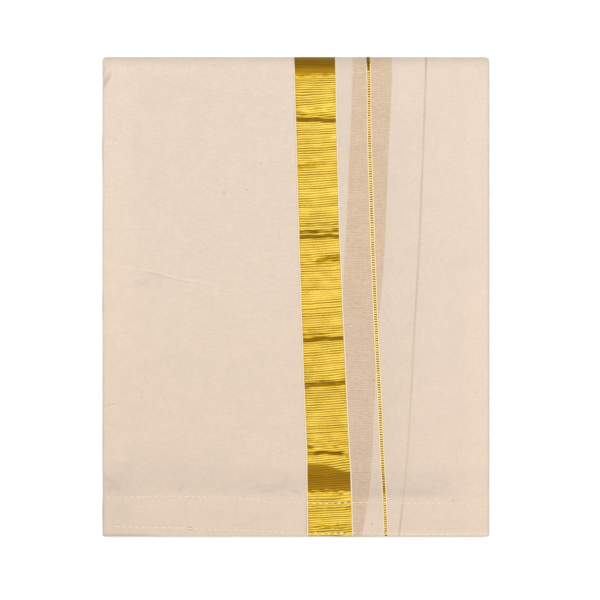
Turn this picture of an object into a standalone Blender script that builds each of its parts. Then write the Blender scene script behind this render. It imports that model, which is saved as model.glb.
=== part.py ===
"""A dhoti cloth folded into a flat packet.

The cloth is folded selvage to selvage, then in panels, and last in half at the far edge, so its outer
plies go round that edge. X runs across the packet, Y from its hemmed edge to its folded edge, Z up.
A point of a ply is given by the line it lies on, across the packet, and by its depth under the
packet's outside. A station carries such a section along the packet and round the far edge.
"""

from collections import namedtuple
from math import cos, pi, sin

import bmesh
import bpy

MILLIMETRE = 0.001

# The packet, in millimetres: 1.27 m of loom width in halves and then in two and a half panels,
# and six passes of the cloth's length
PACKET_WIDTH = 254.0
PACKET_LENGTH = 315.0
FRONT_EDGE = -PACKET_LENGTH / 2
LEFT_EDGE = -PACKET_WIDTH / 2
RIGHT_EDGE = PACKET_WIDTH / 2

# The cloth
CLOTH = 1.0
HEM_EXTRA = 0.4
SEAM = 0.3
HEM_DEPTH = 23.0
RIB_PITCH = 1.54
RIB_HEIGHT = 0.25
RIB_PROFILE = (0.0, 0.7, 1.0, 0.7)

# The folds
FOLD_REACH = 9.0
FOLD_STEPS = 12
MIDDLE_HEIGHT = 5.0
UNDER_LIP = 3.0
TURN_STEPS = 6
TIGHT_TURN_STEPS = 2
TURNED_IN = 3.2
LEFT_LEG = 4.6
STEP_GAP = 0.3
STEP_RUN = 0.5

# The layers at the edges: how far each layer's fold lies in from the packet's edge
Layer = namedtuple("Layer", "left right front")
TOP_LAYERS = (Layer(0.9, 0.7, 2.2), Layer(0.3, 1.2, 1.0), Layer(1.1, 0.6, 2.9))
UNDER_LAYERS = (Layer(0.6, 0.3, 1.6), Layer(1.4, 0.9, 0.8), Layer(0.2, 0.5, 2.0))
GROOVE = 0.8
GROOVE_SHAPE = (1.0, 0.3, 0.0, 0.3)

# The lines across the packet: where each crosses the middle, and its drift per millimetre of length
Line = namedtuple("Line", "middle drift")
ZARI_BAND = (Line(3.4, -0.031), Line(31.3, -0.038))
ZARI_LINE = (Line(50.9, -0.038), Line(53.1, -0.038))
INNER_BAND = (Line(31.5, 0.0385), Line(55.1, 0.0508))
INNER_LINE = (Line(76.2, 0.057), Line(78.2, 0.057))

# How far in from the flap's selvage the front panel starts to dip under it, and where it is down
DIP_START = 5.0
DIP_END = 1.0
# How far in from the second ply's selvage the front panel starts to dip under it, and where it is down
SLOPE_START = 9.0
SLOPE_END = 3.0

# The packet's height along its length, over the flap: it is lower where the inner passes stop short.
# trim is what the rounded hem edge takes off each face of a ply
Row = namedtuple("Row", "from_hem height hem trim")
ROWS = (
    Row(0.0, 12.2, 1.0, 0.35),
    Row(0.4, 12.2, 1.0, 0.1),
    Row(0.9, 12.2, 1.0, 0.0),
    Row(HEM_DEPTH, 12.2, 1.0, 0.0),
    Row(HEM_DEPTH + 2.0, 12.2, 0.0, 0.0),
    Row(30.0, 12.3, 0.0, 0.0),
    Row(35.0, 12.9, 0.0, 0.0),
    Row(42.0, 13.7, 0.0, 0.0),
    Row(48.0, 14.0, 0.0, 0.0),
    Row(150.0, 14.0, 0.0, 0.0),
    Row(PACKET_LENGTH - FOLD_REACH, 14.0, 0.0, 0.0),
)

Station = namedtuple("Station", "y angle height hem trim")
Point = namedtuple("Point", "line sunk depth")
Wall = namedtuple("Wall", "top bottom")


def stations_on_top():
    """The stations from the hemmed edge to where the far fold starts."""
    return [Station(FRONT_EDGE + row.from_hem, 0.0, row.height, row.hem, row.trim) for row in ROWS]


def stations_round_the_fold():
    """The stations over the far edge and down to the underside."""
    start = stations_on_top()[-1]
    return [start._replace(angle=pi * step / FOLD_STEPS) for step in range(1, FOLD_STEPS + 1)]


def station_under(distance):
    """A station on the underside, this far back from the far fold."""
    last = stations_round_the_fold()[-1]
    return last._replace(y=last.y - distance)


def ply_stations():
    """The stations of an outer ply, which ends in a short lip on the underside."""
    return stations_on_top() + stations_round_the_fold() + [station_under(UNDER_LIP)]


def place(station, point, inward=0.0):
    """Where a point of a section lies, in metres. inward carries it to the packet's middle, at 1."""
    over_the_middle = station.height - point.sunk - MIDDLE_HEIGHT
    half = over_the_middle if station.angle <= pi / 2 else MIDDLE_HEIGHT
    outward = 1.0 - inward
    reach = (FOLD_REACH - point.depth) * outward + SEAM / 2 * inward
    rise = (half - point.depth) * outward + SEAM / 2 * inward
    y = station.y + reach * sin(station.angle)
    z = MIDDLE_HEIGHT + rise * cos(station.angle)
    x = point.line.middle + point.line.drift * y
    return (x * MILLIMETRE, y * MILLIMETRE, z * MILLIMETRE)


def beside(line, distance):
    """A line this far to the right of another."""
    return Line(line.middle + distance, line.drift)


def outer_thickness(station):
    """The cloth, thicker where the hem is turned under it."""
    return CLOTH + HEM_EXTRA * station.hem


def wall_below(above, station):
    """The ply that lies just under another, with its faces trimmed at the hemmed edge."""
    top = above.bottom + station.trim + SEAM
    return Wall(top + station.trim, top + CLOTH - station.trim)


def outer_wall(station):
    """A ply that shows, flap or front panel, measured from its own face."""
    return Wall(station.trim, outer_thickness(station) - station.trim)


def second_wall(station):
    return wall_below(outer_wall(station), station)


def front_wall(station):
    """The front panel where it lies under the second ply."""
    return wall_below(second_wall(station), station)


def flap_leg(station):
    """The flap's edge, turned in beneath the front panel."""
    return wall_below(front_wall(station), station)


def front_leg(station):
    """The front panel's edge, turned in beneath it at the left."""
    return wall_below(outer_wall(station), station)


def sunk_by_flap(station):
    """How much lower the packet's outside lies beside the flap."""
    return outer_thickness(station) + SEAM


def turn(edge, side, top, bottom, sunk, steps):
    """A half round from one depth to another that just reaches an edge. side is 1 at the right."""
    radius = (bottom - top) / 2
    points = []
    for step in range(steps + 1):
        angle = pi * step / steps
        x = edge - side * radius * (1.0 - sin(angle))
        points.append(Point(Line(x, 0.0), sunk, top + radius * (1.0 - cos(angle))))
    return points


def front_section(station):
    """The front panel, from the second ply round the right turn to the leg of the left turn."""
    second = second_wall(station)
    front = front_wall(station)
    shown = outer_wall(station)
    leg = front_leg(station)
    sunk = sunk_by_flap(station)
    seam = beside(INNER_LINE[1], SEAM)
    right = RIGHT_EDGE - CLOTH - SEAM
    slope_end = beside(INNER_BAND[0], -SLOPE_END)
    slope_start = beside(INNER_BAND[0], -SLOPE_START)
    dip_end = beside(ZARI_BAND[0], -DIP_END)
    dip_start = beside(ZARI_BAND[0], -DIP_START)
    leg_end = Line(LEFT_EDGE + LEFT_LEG, 0.0)
    outside = [Point(seam, 0.0, second.top)]
    outside += turn(right, 1, second.top, front.bottom, 0.0, TURN_STEPS)
    outside += [
        Point(slope_end, 0.0, front.bottom),
        Point(slope_start, 0.0, second.top + shown.bottom - shown.top),
        Point(dip_end, 0.0, second.top + shown.bottom - shown.top),
        Point(dip_start, sunk, shown.bottom),
    ]
    outside += turn(LEFT_EDGE + CLOTH, -1, shown.bottom, leg.top, sunk, TIGHT_TURN_STEPS)
    outside += [Point(leg_end, sunk, leg.top)]
    inside = [Point(seam, 0.0, second.bottom)]
    inside += turn(right - CLOTH, 1, second.bottom, front.top, 0.0, TIGHT_TURN_STEPS)
    inside += [
        Point(slope_end, 0.0, front.top),
        Point(slope_start, 0.0, second.top),
        Point(dip_end, 0.0, second.top),
        Point(dip_start, sunk, shown.top),
    ]
    inside += turn(LEFT_EDGE + station.trim, -1, shown.top, leg.bottom, sunk, TURN_STEPS)
    inside += [Point(leg_end, sunk, leg.bottom)]
    return outside + inside[::-1]


def flap_section(station):
    """The flap, from its zari line round the right turn to the leg beneath the front panel."""
    flap = outer_wall(station)
    leg = flap_leg(station)
    seam = beside(ZARI_LINE[1], SEAM)
    leg_end = Line(RIGHT_EDGE - (leg.bottom - flap.top) / 2 - TURNED_IN, 0.0)
    outside = [Point(seam, 0.0, flap.top)]
    outside += turn(RIGHT_EDGE - station.trim, 1, flap.top, leg.bottom, 0.0, TURN_STEPS)
    outside += [Point(leg_end, 0.0, leg.bottom)]
    inside = [Point(seam, 0.0, flap.bottom)]
    inside += turn(RIGHT_EDGE - CLOTH, 1, flap.bottom, leg.top, 0.0, TURN_STEPS)
    inside += [Point(leg_end, 0.0, leg.top)]
    return outside + inside[::-1]


def closed_body(sections):
    """A body through closed sections of as many points each, with a face at either end."""
    body = bmesh.new()
    face = body.faces.new([body.verts.new(point) for point in sections[0]])
    first = face
    for section in sections[1:]:
        extruded = bmesh.ops.extrude_face_region(body, geom=[face])["geom"]
        if face is not first:
            bmesh.ops.delete(body, geom=[face], context="FACES_ONLY")
        face = next(item for item in extruded if isinstance(item, bmesh.types.BMFace))
        for corner, point in zip(face.verts, section):
            corner.co = point
    bmesh.ops.recalc_face_normals(body, faces=body.faces[:])
    return body


def ply_body(section):
    """A ply swept along the packet from its section."""
    return closed_body([[place(station, point) for point in section(station)] for station in ply_stations()])


def profile_of(wall, line):
    """The side view of a strip: its outer face from the hemmed edge on, and its inner face back."""
    stations = ply_stations()
    outer = [place(station, Point(line, 0.0, wall(station).top)) for station in stations]
    inner = [place(station, Point(line, 0.0, wall(station).bottom)) for station in stations]
    return outer, inner


def ribbed(outer):
    """The outer face with cross ribs raised on it, which die out as it turns under."""
    raised = []
    step = RIB_PITCH / len(RIB_PROFILE) * MILLIMETRE
    travelled = 0.0
    count = 0
    for (_, y0, z0), (_, y1, z1) in zip(outer, outer[1:]):
        length = ((y1 - y0) ** 2 + (z1 - z0) ** 2) ** 0.5
        out_y, out_z = -(z1 - z0) / length, (y1 - y0) / length
        while count * step < travelled + length:
            share = (count * step - travelled) / length
            shown = min(1.0, max(0.0, 1.0 + 2.0 * out_z))
            rise = RIB_HEIGHT * MILLIMETRE * RIB_PROFILE[count % len(RIB_PROFILE)] * shown
            y = y0 + (y1 - y0) * share + out_y * rise
            z = z0 + (z1 - z0) * share + out_z * rise
            raised.append((0.0, y, z))
            count += 1
        travelled += length
    return raised + [outer[-1]]


def strip_body(wall, left, right, with_ribs=False):
    """A strip between two lines: its side view, drawn at one line and carried over to the other."""
    outer, inner = profile_of(wall, left)
    if with_ribs:
        outer = ribbed(outer)
    side_view = outer + inner[::-1]
    sides = []
    for line in (left, right):
        middle = line.middle * MILLIMETRE
        sides.append([(middle + line.drift * y, y, z) for _, y, z in side_view])
    return closed_body(sides)


def core_lines(station):
    """The hidden layers' lines from left to right, with how deep their upper face lies on each."""
    second = second_wall(station)
    front = front_wall(station)
    shown = outer_wall(station)
    sunk = sunk_by_flap(station)
    left_step = LEFT_EDGE + LEFT_LEG + STEP_GAP
    leg = flap_leg(station)
    right_step = RIGHT_EDGE - leg.bottom / 2 - TURNED_IN - STEP_GAP
    below_left_leg = front_leg(station).bottom + SEAM
    shown_below = shown.bottom + SEAM
    upper_below = second.top + shown.bottom + SEAM
    front_below = front.bottom + SEAM
    return [
        Point(Line(LEFT_EDGE, 0.0), sunk, below_left_leg),
        Point(Line(left_step, 0.0), sunk, below_left_leg),
        Point(Line(left_step + STEP_RUN, 0.0), sunk, shown_below),
        Point(beside(ZARI_BAND[0], -DIP_START), sunk, shown_below),
        Point(beside(ZARI_BAND[0], -DIP_END), 0.0, upper_below),
        Point(beside(INNER_BAND[0], -SLOPE_START), 0.0, upper_below),
        Point(beside(INNER_BAND[0], -SLOPE_END), 0.0, front_below),
        Point(Line(right_step - STEP_RUN, 0.0), 0.0, front_below),
        Point(Line(right_step, 0.0), 0.0, leg.bottom + SEAM),
        Point(Line(RIGHT_EDGE, 0.0), 0.0, leg.bottom + SEAM),
    ]


def core_stations():
    """The hidden layers' stations, from inside the rounded hem: under the plies, round, on the ground."""
    top = [station for station in stations_on_top() if station.trim == 0.0]
    lip = station_under(UNDER_LIP + STEP_GAP)
    ground = station_under(UNDER_LIP + STEP_GAP + STEP_RUN)
    back_at_hem = ground._replace(y=top[0].y)
    return top + stations_round_the_fold() + [lip, ground, back_at_hem]


def layer_inset(layers, side, level):
    """How far in a layer's edge lies at a level of the stack, with a groove between two layers."""
    steps = len(GROOVE_SHAPE)
    layer = layers[min(level // steps, len(layers) - 1)]
    return getattr(layer, side) + GROOVE * GROOVE_SHAPE[level % steps]


def core_body():
    """All the folded layers, one body bent round the far fold, with its layers showing at the edges."""
    stations = core_stations()
    levels = len(TOP_LAYERS) * len(GROOVE_SHAPE)
    columns = len(core_lines(stations[0])) - 1
    grounded = len(stations) - 2
    body = bmesh.new()
    bmesh.ops.create_grid(body, x_segments=columns, y_segments=levels, size=0.5)
    for vert in body.verts:
        vert.co = (round((vert.co.x + 0.5) * columns), round((vert.co.y + 0.5) * levels), 0)
    faces = body.faces[:]
    for row in range(1, len(stations)):
        extruded = bmesh.ops.extrude_face_region(body, geom=faces)["geom"]
        if row > 1:
            bmesh.ops.delete(body, geom=faces, context="FACES_ONLY")
        faces = [item for item in extruded if isinstance(item, bmesh.types.BMFace)]
        for vert in {vert for face in faces for vert in face.verts}:
            vert.co.z = row
    bmesh.ops.recalc_face_normals(body, faces=body.faces[:])
    for vert in body.verts:
        column, level, row = round(vert.co.x), round(vert.co.y), round(vert.co.z)
        station = stations[row]
        point = core_lines(station)[column]
        if row >= grounded:
            point = point._replace(depth=0.0)
        layers = TOP_LAYERS if station.angle <= pi / 2 else UNDER_LAYERS
        if column == 0:
            inset = layer_inset(layers, "left", level)
            point = point._replace(line=beside(point.line, inset))
        if column == columns:
            inset = layer_inset(layers, "right", level)
            point = point._replace(line=beside(point.line, -inset))
        if row in (0, len(stations) - 1):
            station = station._replace(y=station.y + layer_inset(layers, "front", level))
        vert.co = place(station, point, level / levels)
    return body


def material(name, colour, roughness, metallic):
    made = bpy.data.materials.new(name)
    made.use_nodes = True
    shader = made.node_tree.nodes["Principled BSDF"]
    shader.inputs["Base Color"].default_value = (*colour, 1.0)
    shader.inputs["Roughness"].default_value = roughness
    shader.inputs["Metallic"].default_value = metallic
    return made


def add_node(name, body, surface, collection):
    mesh = bpy.data.meshes.new(name)
    body.to_mesh(mesh)
    body.free()
    mesh.shade_smooth()
    mesh.set_sharp_from_angle(angle=pi / 6)
    mesh.materials.append(surface)
    piece = bpy.data.objects.new(name, mesh)
    collection.objects.link(piece)
    return piece


def clear_scene():
    for item in list(bpy.data.objects):
        bpy.data.objects.remove(item, do_unlink=True)


def build():
    clear_scene()
    packet = bpy.data.collections.new("dhoti_cloth")
    bpy.context.scene.collection.children.link(packet)
    cotton = material("cream_cotton", (0.80, 0.665, 0.54), 0.85, 0.0)
    under_cotton = material("inner_cotton", (0.74, 0.60, 0.47), 0.88, 0.0)
    zari = material("zari_gold", (0.76, 0.53, 0.075), 0.38, 0.85)
    muted_zari = material("muted_zari", (0.66, 0.50, 0.32), 0.6, 0.4)
    margin = (beside(ZARI_BAND[1], SEAM), beside(ZARI_LINE[0], -SEAM))
    inner_margin = (beside(INNER_BAND[1], SEAM), beside(INNER_LINE[0], -SEAM))
    add_node("folded_layers", core_body(), under_cotton, packet)
    add_node("front_panel", ply_body(front_section), cotton, packet)
    add_node("flap_panel", ply_body(flap_section), cotton, packet)
    add_node("zari_band", strip_body(outer_wall, *ZARI_BAND, with_ribs=True), zari, packet)
    add_node("flap_margin", strip_body(outer_wall, *margin), cotton, packet)
    add_node("zari_line", strip_body(outer_wall, *ZARI_LINE), zari, packet)
    add_node("inner_zari_band", strip_body(second_wall, *INNER_BAND), muted_zari, packet)
    add_node("inner_margin", strip_body(second_wall, *inner_margin), cotton, packet)
    add_node("inner_zari_line", strip_body(second_wall, *INNER_LINE), muted_zari, packet)


build()
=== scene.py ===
"""A dhoti cloth folded into a flat packet: plies, zari borders, folded edges, hem and stitches.

Sizes are in millimetres until a mesh is made. A ply is drawn as a section across the packet, carried
along it from the hemmed edge, over the far fold and back underneath. A point of a section lies on a
line across the packet, at a depth below the packet's outside. Its travel is how far along it lies.
"""

from collections import namedtuple

import bpy
import numpy as np
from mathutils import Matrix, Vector


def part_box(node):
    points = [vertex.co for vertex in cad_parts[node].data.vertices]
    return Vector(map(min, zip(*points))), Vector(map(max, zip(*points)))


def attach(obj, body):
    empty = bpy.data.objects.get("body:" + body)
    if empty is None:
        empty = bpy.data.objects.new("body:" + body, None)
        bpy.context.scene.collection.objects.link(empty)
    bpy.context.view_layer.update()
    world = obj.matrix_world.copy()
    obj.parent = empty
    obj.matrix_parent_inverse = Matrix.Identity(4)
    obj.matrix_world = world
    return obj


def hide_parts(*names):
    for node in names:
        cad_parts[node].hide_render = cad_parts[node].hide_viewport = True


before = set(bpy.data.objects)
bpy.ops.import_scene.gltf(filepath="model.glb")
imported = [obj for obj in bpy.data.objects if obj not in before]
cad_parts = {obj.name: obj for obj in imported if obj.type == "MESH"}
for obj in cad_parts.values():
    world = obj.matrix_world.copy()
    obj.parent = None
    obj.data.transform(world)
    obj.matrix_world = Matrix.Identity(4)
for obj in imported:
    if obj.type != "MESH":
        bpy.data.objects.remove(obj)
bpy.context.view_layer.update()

MILLIMETRE = 0.001

# The packet, from the frame
FLAP_LOW, FLAP_HIGH = (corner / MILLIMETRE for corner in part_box("flap_panel"))
PANEL_LOW, PANEL_HIGH = (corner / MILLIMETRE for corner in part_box("front_panel"))
LEFT, RIGHT = PANEL_LOW.x, FLAP_HIGH.x
FRONT, BACK = FLAP_LOW.y, FLAP_HIGH.y
TOP = FLAP_HIGH.z
FLAP_STEP = TOP - PANEL_HIGH.z
LENGTH = BACK - FRONT

# The far fold: its reach, the way round it, its middle's height and how open its innermost ply is
REACH = 9.0
FOLD_ARC = 25.0
MIDDLE = 5.0
CORE = 0.15
FOLD_START = LENGTH - REACH
UNDERSIDE = FOLD_START + FOLD_ARC
WHOLE_TRAVEL = UNDERSIDE + FOLD_START

# The height at the hem, and where it slopes up behind it
LOW_TOP = 12.2
SLOPE = (29.0, 48.0)

# The cloth, in metres for the length of its flat cut, and its thickness
CLOTH = 0.4
HALF_PLY = CLOTH / 2

# The hem, how much lower the panel lies there, the small round of a turned edge, and the far one's tuck
HEM = 23.0
HEM_SUNK = 0.4
NOSE = 0.42
TUCK = 8.0

# How close a ply's points lie across it and along it, and how far its closer rows reach at both ends
CELL = 1.25
ROW_CELL = 1.6
FINE_HEM = 62.0
FINE_FOLD = 32.0

# Lines across the packet: where each crosses the middle, and its drift per millimetre of length
Line = namedtuple("Line", "middle drift")
BAND_LEFT = Line(3.4, -0.031)
BAND_RIGHT = Line(31.3, -0.038)
LINE_LEFT = Line(50.9, -0.038)
LINE_RIGHT = Line(53.1, -0.038)
INNER_BAND_LEFT = Line(31.5, 0.0385)
INNER_BAND_RIGHT = Line(55.1, 0.0508)
INNER_LINE_LEFT = Line(76.2, 0.057)
INNER_LINE_RIGHT = Line(78.2, 0.057)

# How far the flap's lines wander aside on their way along the packet: (along from the middle, aside)
BAND_LEFT_SWAY = ((-157, 0.0), (-100, 0.9), (-55, 0.4), (30, 0.1), (85, 0.3), (158, 0.5))
BAND_RIGHT_SWAY = ((-157, -0.1), (-115, 0.4), (-105, -0.1), (-15, -0.9), (45, -1.15), (115, -0.3),
                   (158, 0.8))
LINE_SWAY = ((-157, 1.25), (-125, 1.15), (-108, 0.7), (-60, 0.35), (-35, 0.0), (30, -0.3), (90, 0.1),
             (112, 0.4), (140, 1.35), (158, 1.5))

# How far in from the packet's sides that wandering dies out
STEADY_LEFT = 60.0
STEADY_RIGHT = 25.0

# Soft creases pressed into the plies, from one end to the other: height is up where positive
Crease = namedtuple("Crease", "x0 y0 x1 y1 width height")
PANEL_CREASES = (
    Crease(-96, 15.0, -84, 12.4, 1.4, -0.16),
    Crease(-118, 4.8, -95, 9.0, 2.2, -0.18),
    Crease(-126, -16.4, -122, -15.7, 0.9, -0.12),
    Crease(-125, -81.9, -115, -86.5, 1.3, -0.13),
    Crease(-128, 136, -122, 144.5, 1.1, -1.3),
    Crease(-128, 146.5, -124, 151, 0.9, -0.8),
    Crease(-121, 132, -114, 147, 2.0, 0.18),
    Crease(-122, -109.5, -108, -112.0, 1.7, -0.18),
    Crease(-128, -117.5, -116, -126.0, 1.6, -0.24),
    Crease(-125, -126.2, -116, -125.9, 1.6, -0.24),
    Crease(-79, -127.2, -75, -126.6, 1.2, -0.24),
    Crease(-76, -126.6, -72, -123.0, 1.1, -0.20),
    Crease(-48, -127.4, -28, -120.6, 1.8, -0.15),
    Crease(-30, -126.0, -8, -125.5, 1.5, -0.20),
    Crease(-23, -128.0, -13.5, -128.6, 1.0, -0.42),
    Crease(-3, -127.9, 3.5, -129.2, 1.0, -0.30),
    Crease(-9, -125.9, -4, -118.0, 2.2, -0.15),
    Crease(-74, -137.7, -66, -131.6, 0.7, -0.28),
    Crease(-42, -150.6, -31, -149.9, 1.0, -0.18),
    Crease(-32, -150.2, -24, -144.8, 1.0, -0.24),
    Crease(-25, -138.5, -19, -134.2, 0.9, -0.14),
    Crease(-48, -142.9, -48, -132.4, 0.8, -0.06),
    Crease(-110, 60, -70, 75, 6.0, 0.10),
    Crease(-90, -40, -20, -55, 7.0, -0.06),
    Crease(-60, 120, -15, 105, 7.0, 0.10),
)
FLAP_CREASES = (
    Crease(60, 118, 104, 128, 5.0, 0.12),
    Crease(70, 28, 120, 20, 4.5, -0.05),
    Crease(66, -60, 118, -48, 5.0, 0.10),
    Crease(115, -131.4, 127, -131.1, 0.8, -0.22),
    Crease(80, -118, 100, -123, 3.0, -0.12),
    Crease(34, 96, 60, 99, 1.8, -0.10),
    Crease(34, 39, 60, 41, 1.8, -0.10),
    Crease(34, -121, 60, -122, 1.2, 0.08),
    Crease(115, -97, 127, -99, 2.0, -0.10),
)
PANEL_SEED = 5
FLAP_SEED = 9

# Folds pressed across the zari border: distance from the hemmed edge at its left and right side,
# width and depth, and the shares of the border's width where each starts and ends
Pleat = namedtuple("Pleat", "left right width depth start end")
BAND_PLEATS = (
    Pleat(277.6, 276.6, 1.2, 0.44, 0.0, 0.55),
    Pleat(277.0, 275.6, 0.9, 0.40, 0.62, 0.95),
    Pleat(273.8, 273.1, 1.3, 0.86, 0.0, 1.0),
    Pleat(242.3, 245.3, 2.3, 0.48, 0.0, 0.42),
    Pleat(199.6, 200.1, 1.0, 0.66, 0.0, 0.4),
    Pleat(199.8, 200.3, 0.8, 0.50, 0.4, 0.86),
    Pleat(200.2, 200.4, 1.0, 0.66, 0.92, 1.0),
    Pleat(196.2, 197.1, 1.25, 0.84, 0.0, 1.0),
    Pleat(178.6, 183.6, 2.4, 0.55, 0.42, 1.0),
    Pleat(132.4, 133.4, 0.8, 0.36, 0.0, 0.5),
    Pleat(128.9, 130.3, 1.3, 0.88, 0.0, 1.0),
    Pleat(99.1, 101.1, 2.0, 0.72, 0.0, 1.0),
    Pleat(58.3, 58.8, 1.1, 0.55, 0.0, 0.10),
    Pleat(54.4, 54.7, 1.3, 0.42, 0.0, 0.30),
    Pleat(54.6, 54.9, 1.0, 0.50, 0.22, 0.78),
    Pleat(54.8, 55.2, 0.8, 0.46, 0.26, 0.74),
    Pleat(58.6, 52.9, 1.2, 0.42, 0.78, 1.0),
)

# The border's cross ribs, where they crowd together, how far its left side settles, and its share of relief
RIB_PITCH = 1.54
RIB_HEIGHT = 0.12
CROWDED_FROM = 299.0
SETTLE = 0.95
BAND_RELIEF = 0.35

# How far the ribs rise from the border's left side to its right: distance from the hem's edge, rise
RIB_RISE = ((0, 1.8), (20, 1.2), (35, 1.4), (52, 3.2), (72, 1.1), (125, 2.3), (170, 1.2), (190, 1.4),
            (200, 2.1), (250, 1.7), (290, 1.4), (300, 0.9))

# Rows of running stitch: distance from the hemmed edge along its length, as (across, distance) pairs
UPPER_PITCH = 3.95
LOWER_PITCH = 4.33
UPPER_ROW = ((-126, 25.7), (-84, 26.5), (-46, 25.8), (-27, 24.4), (-22, 23.7), (-18, 22.2), (47, 22.4),
             (88, 21.8), (127, 21.0))
LOWER_ROW = ((-120, 6.6), (-71, 5.4), (-57, 4.6), (-31, 4.0), (-4, 2.5), (62, 2.4), (75, 1.4), (127, 1.2))


# Curves and unevenness

def smooth(value, start, end):
    """0 before start, 1 after end, and a soft step between."""
    share = np.clip((value - start) / (end - start), 0.0, 1.0)
    return share * share * (3.0 - 2.0 * share)


def plateau(value, rise, fall):
    """Rises from 0 to 1 over one stretch, and falls back to 0 over another."""
    return smooth(value, *rise) * (1.0 - smooth(value, *fall))


def bell(value, middle, reach, power=2):
    """1 at the middle, falling away on both sides; a higher power gives it a flatter top."""
    return np.exp(-np.abs((value - middle) / reach) ** power)


def fading(distance, reach):
    """1 at no distance, dying away over the reach."""
    return np.exp(-distance / reach)


def at_stops(stops, place):
    """The value at a place between (place, value) stops, joined by straight runs."""
    return np.interp(place, *zip(*stops))


def value_noise(x, y, pitch, seed):
    """A smooth unevenness between -1 and 1 whose swells are about a pitch apart."""
    cells, shift = 63, 31.0
    rng = np.random.default_rng(seed)
    grid = rng.uniform(-1.0, 1.0, (cells + 1, cells + 1))
    u, v = x / pitch + shift, y / pitch + shift
    column, row = np.floor(u).astype(int), np.floor(v).astype(int)
    s, t = smooth(u - column, 0.0, 1.0), smooth(v - row, 0.0, 1.0)
    column, row = column % cells, row % cells
    low = grid[row, column] * (1 - s) + grid[row, column + 1] * s
    high = grid[row + 1, column] * (1 - s) + grid[row + 1, column + 1] * s
    return low * (1 - t) + high * t


def noise_along(travel, pitch, seed):
    """The same unevenness along one way only."""
    return value_noise(travel, 0.0 * travel, pitch, seed)


def pressed(x, y, creases):
    """The height that creases add, each a soft ridge or trough that dies out at its ends."""
    total = np.zeros(np.broadcast(x, y).shape)
    for crease in creases:
        run_x, run_y = crease.x1 - crease.x0, crease.y1 - crease.y0
        length = np.hypot(run_x, run_y)
        along = ((x - crease.x0) * run_x + (y - crease.y0) * run_y) / length
        aside = ((x - crease.x0) * run_y - (y - crease.y0) * run_x) / length
        aside = aside + 0.6 * np.sin(along / 7.0)
        fade = min(4.0, length / 3)
        ends = plateau(along, (-fade, fade), (length - fade, length + fade))
        total += crease.height * bell(aside, 0.0, crease.width) * ends
    return total


def relief(x, y, creases, seed):
    """How far a shown ply stands off its even form, where the packet's top is flat."""
    uneven = 0.10 * value_noise(x, y, 38.0, seed) + 0.045 * value_noise(x, y, 13.0, seed + 1)
    return uneven + pressed(x, y, creases)


# The packet's form

def across(line, y):
    """Where a line lies at a distance along the packet."""
    return line.middle + line.drift * y


def swayed(x, y, travel):
    """Where a point lies once the flap's lines wander; the packet's sides stay straight."""
    left, right, line = across(BAND_LEFT, y), across(BAND_RIGHT, y), across(LINE_LEFT, y)
    at_left, at_right = at_stops(BAND_LEFT_SWAY, y), at_stops(BAND_RIGHT_SWAY, y)
    at_line = at_stops(LINE_SWAY, y)
    aside = at_left * smooth(x, LEFT + STEADY_LEFT, left)
    aside = aside + (at_right - at_left) * np.clip((x - left) / (right - left), 0.0, 1.0)
    aside = aside + (at_line - at_right) * np.clip((x - right) / (line - right), 0.0, 1.0)
    aside = aside - at_line * np.clip((x - line) / (RIGHT - STEADY_RIGHT - line), 0.0, 1.0)
    return x + aside * (1.0 - smooth(travel, UNDERSIDE - 8.0, UNDERSIDE))


def hem_share(from_hem):
    """1 over the hem, and 0 behind it."""
    return 1.0 - smooth(from_hem, HEM, HEM + 2.0)


def on_top(travel):
    """1 on the packet's top, and 0 once round the start of the far fold."""
    return 1.0 - smooth(travel, FOLD_START - 2.0, FOLD_START + 10.0)


def height(from_hem):
    """The packet's height over the flap, lower where the inner passes stop short of the hem."""
    return LOW_TOP + (TOP - LOW_TOP) * smooth(from_hem, *SLOPE)


def sunk_at(from_hem):
    """How much lower the front panel lies than the flap, more down the slope to the hem."""
    return FLAP_STEP + HEM_SUNK * (1.0 - smooth(from_hem, HEM + 4.0, HEM + 22.0))


def on_packet(x, travel, depth, sunk=0.0, inward=0.0):
    """Points on the packet. inward goes from 0, its outside, to 1, the middle of the stack."""
    angle = np.clip((travel - FOLD_START) / FOLD_ARC, 0.0, 1.0) * np.pi
    from_hem = np.minimum(travel, FOLD_START)
    top_half = height(from_hem) - sunk - MIDDLE
    half = np.where(angle <= np.pi / 2, top_half, MIDDLE)
    reach = (REACH - depth) * (1.0 - inward) + CORE * inward
    rise = (half - depth) * (1.0 - inward) + CORE * inward
    y = FRONT + from_hem - np.maximum(travel - UNDERSIDE, 0.0) + reach * np.sin(angle)
    z = MIDDLE + rise * np.cos(angle)
    return np.stack(np.broadcast_arrays(x, y, z), axis=-1)


# Meshes

def make_mesh(name, points, faces, material):
    """A smooth-shaded piece from points in millimetres."""
    mesh = bpy.data.meshes.new(name)
    mesh.from_pydata((points.reshape(-1, 3) * MILLIMETRE).tolist(), [], faces)
    mesh.validate()
    mesh.shade_smooth()
    mesh.materials.append(material)
    piece = bpy.data.objects.new(name, mesh)
    bpy.context.scene.collection.objects.link(piece)
    return piece


def grid_faces(rows, columns, closed=False):
    """The quads of a grid whose points run along its columns, row after row."""
    row, column = np.meshgrid(np.arange(rows - 1), np.arange(columns - (not closed)), indexing="ij")
    following = (column + 1) % columns
    near, far = row * columns, (row + 1) * columns
    corners = np.stack([near + column, near + following, far + following, far + column], -1)
    return corners.reshape(-1, 4).tolist()


def tube_faces(rings, around):
    """The faces of a tube of rings, with its two ends filled."""
    ends = [list(range(around - 1, -1, -1)), list(range((rings - 1) * around, rings * around))]
    return grid_faces(rings, around, closed=True) + ends


def thicken(piece, thickness):
    """Gives a sheet its thickness, half to either side."""
    solid = piece.modifiers.new("thickness", "SOLIDIFY")
    solid.thickness = thickness * MILLIMETRE
    solid.offset = 0.0
    return piece


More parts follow.
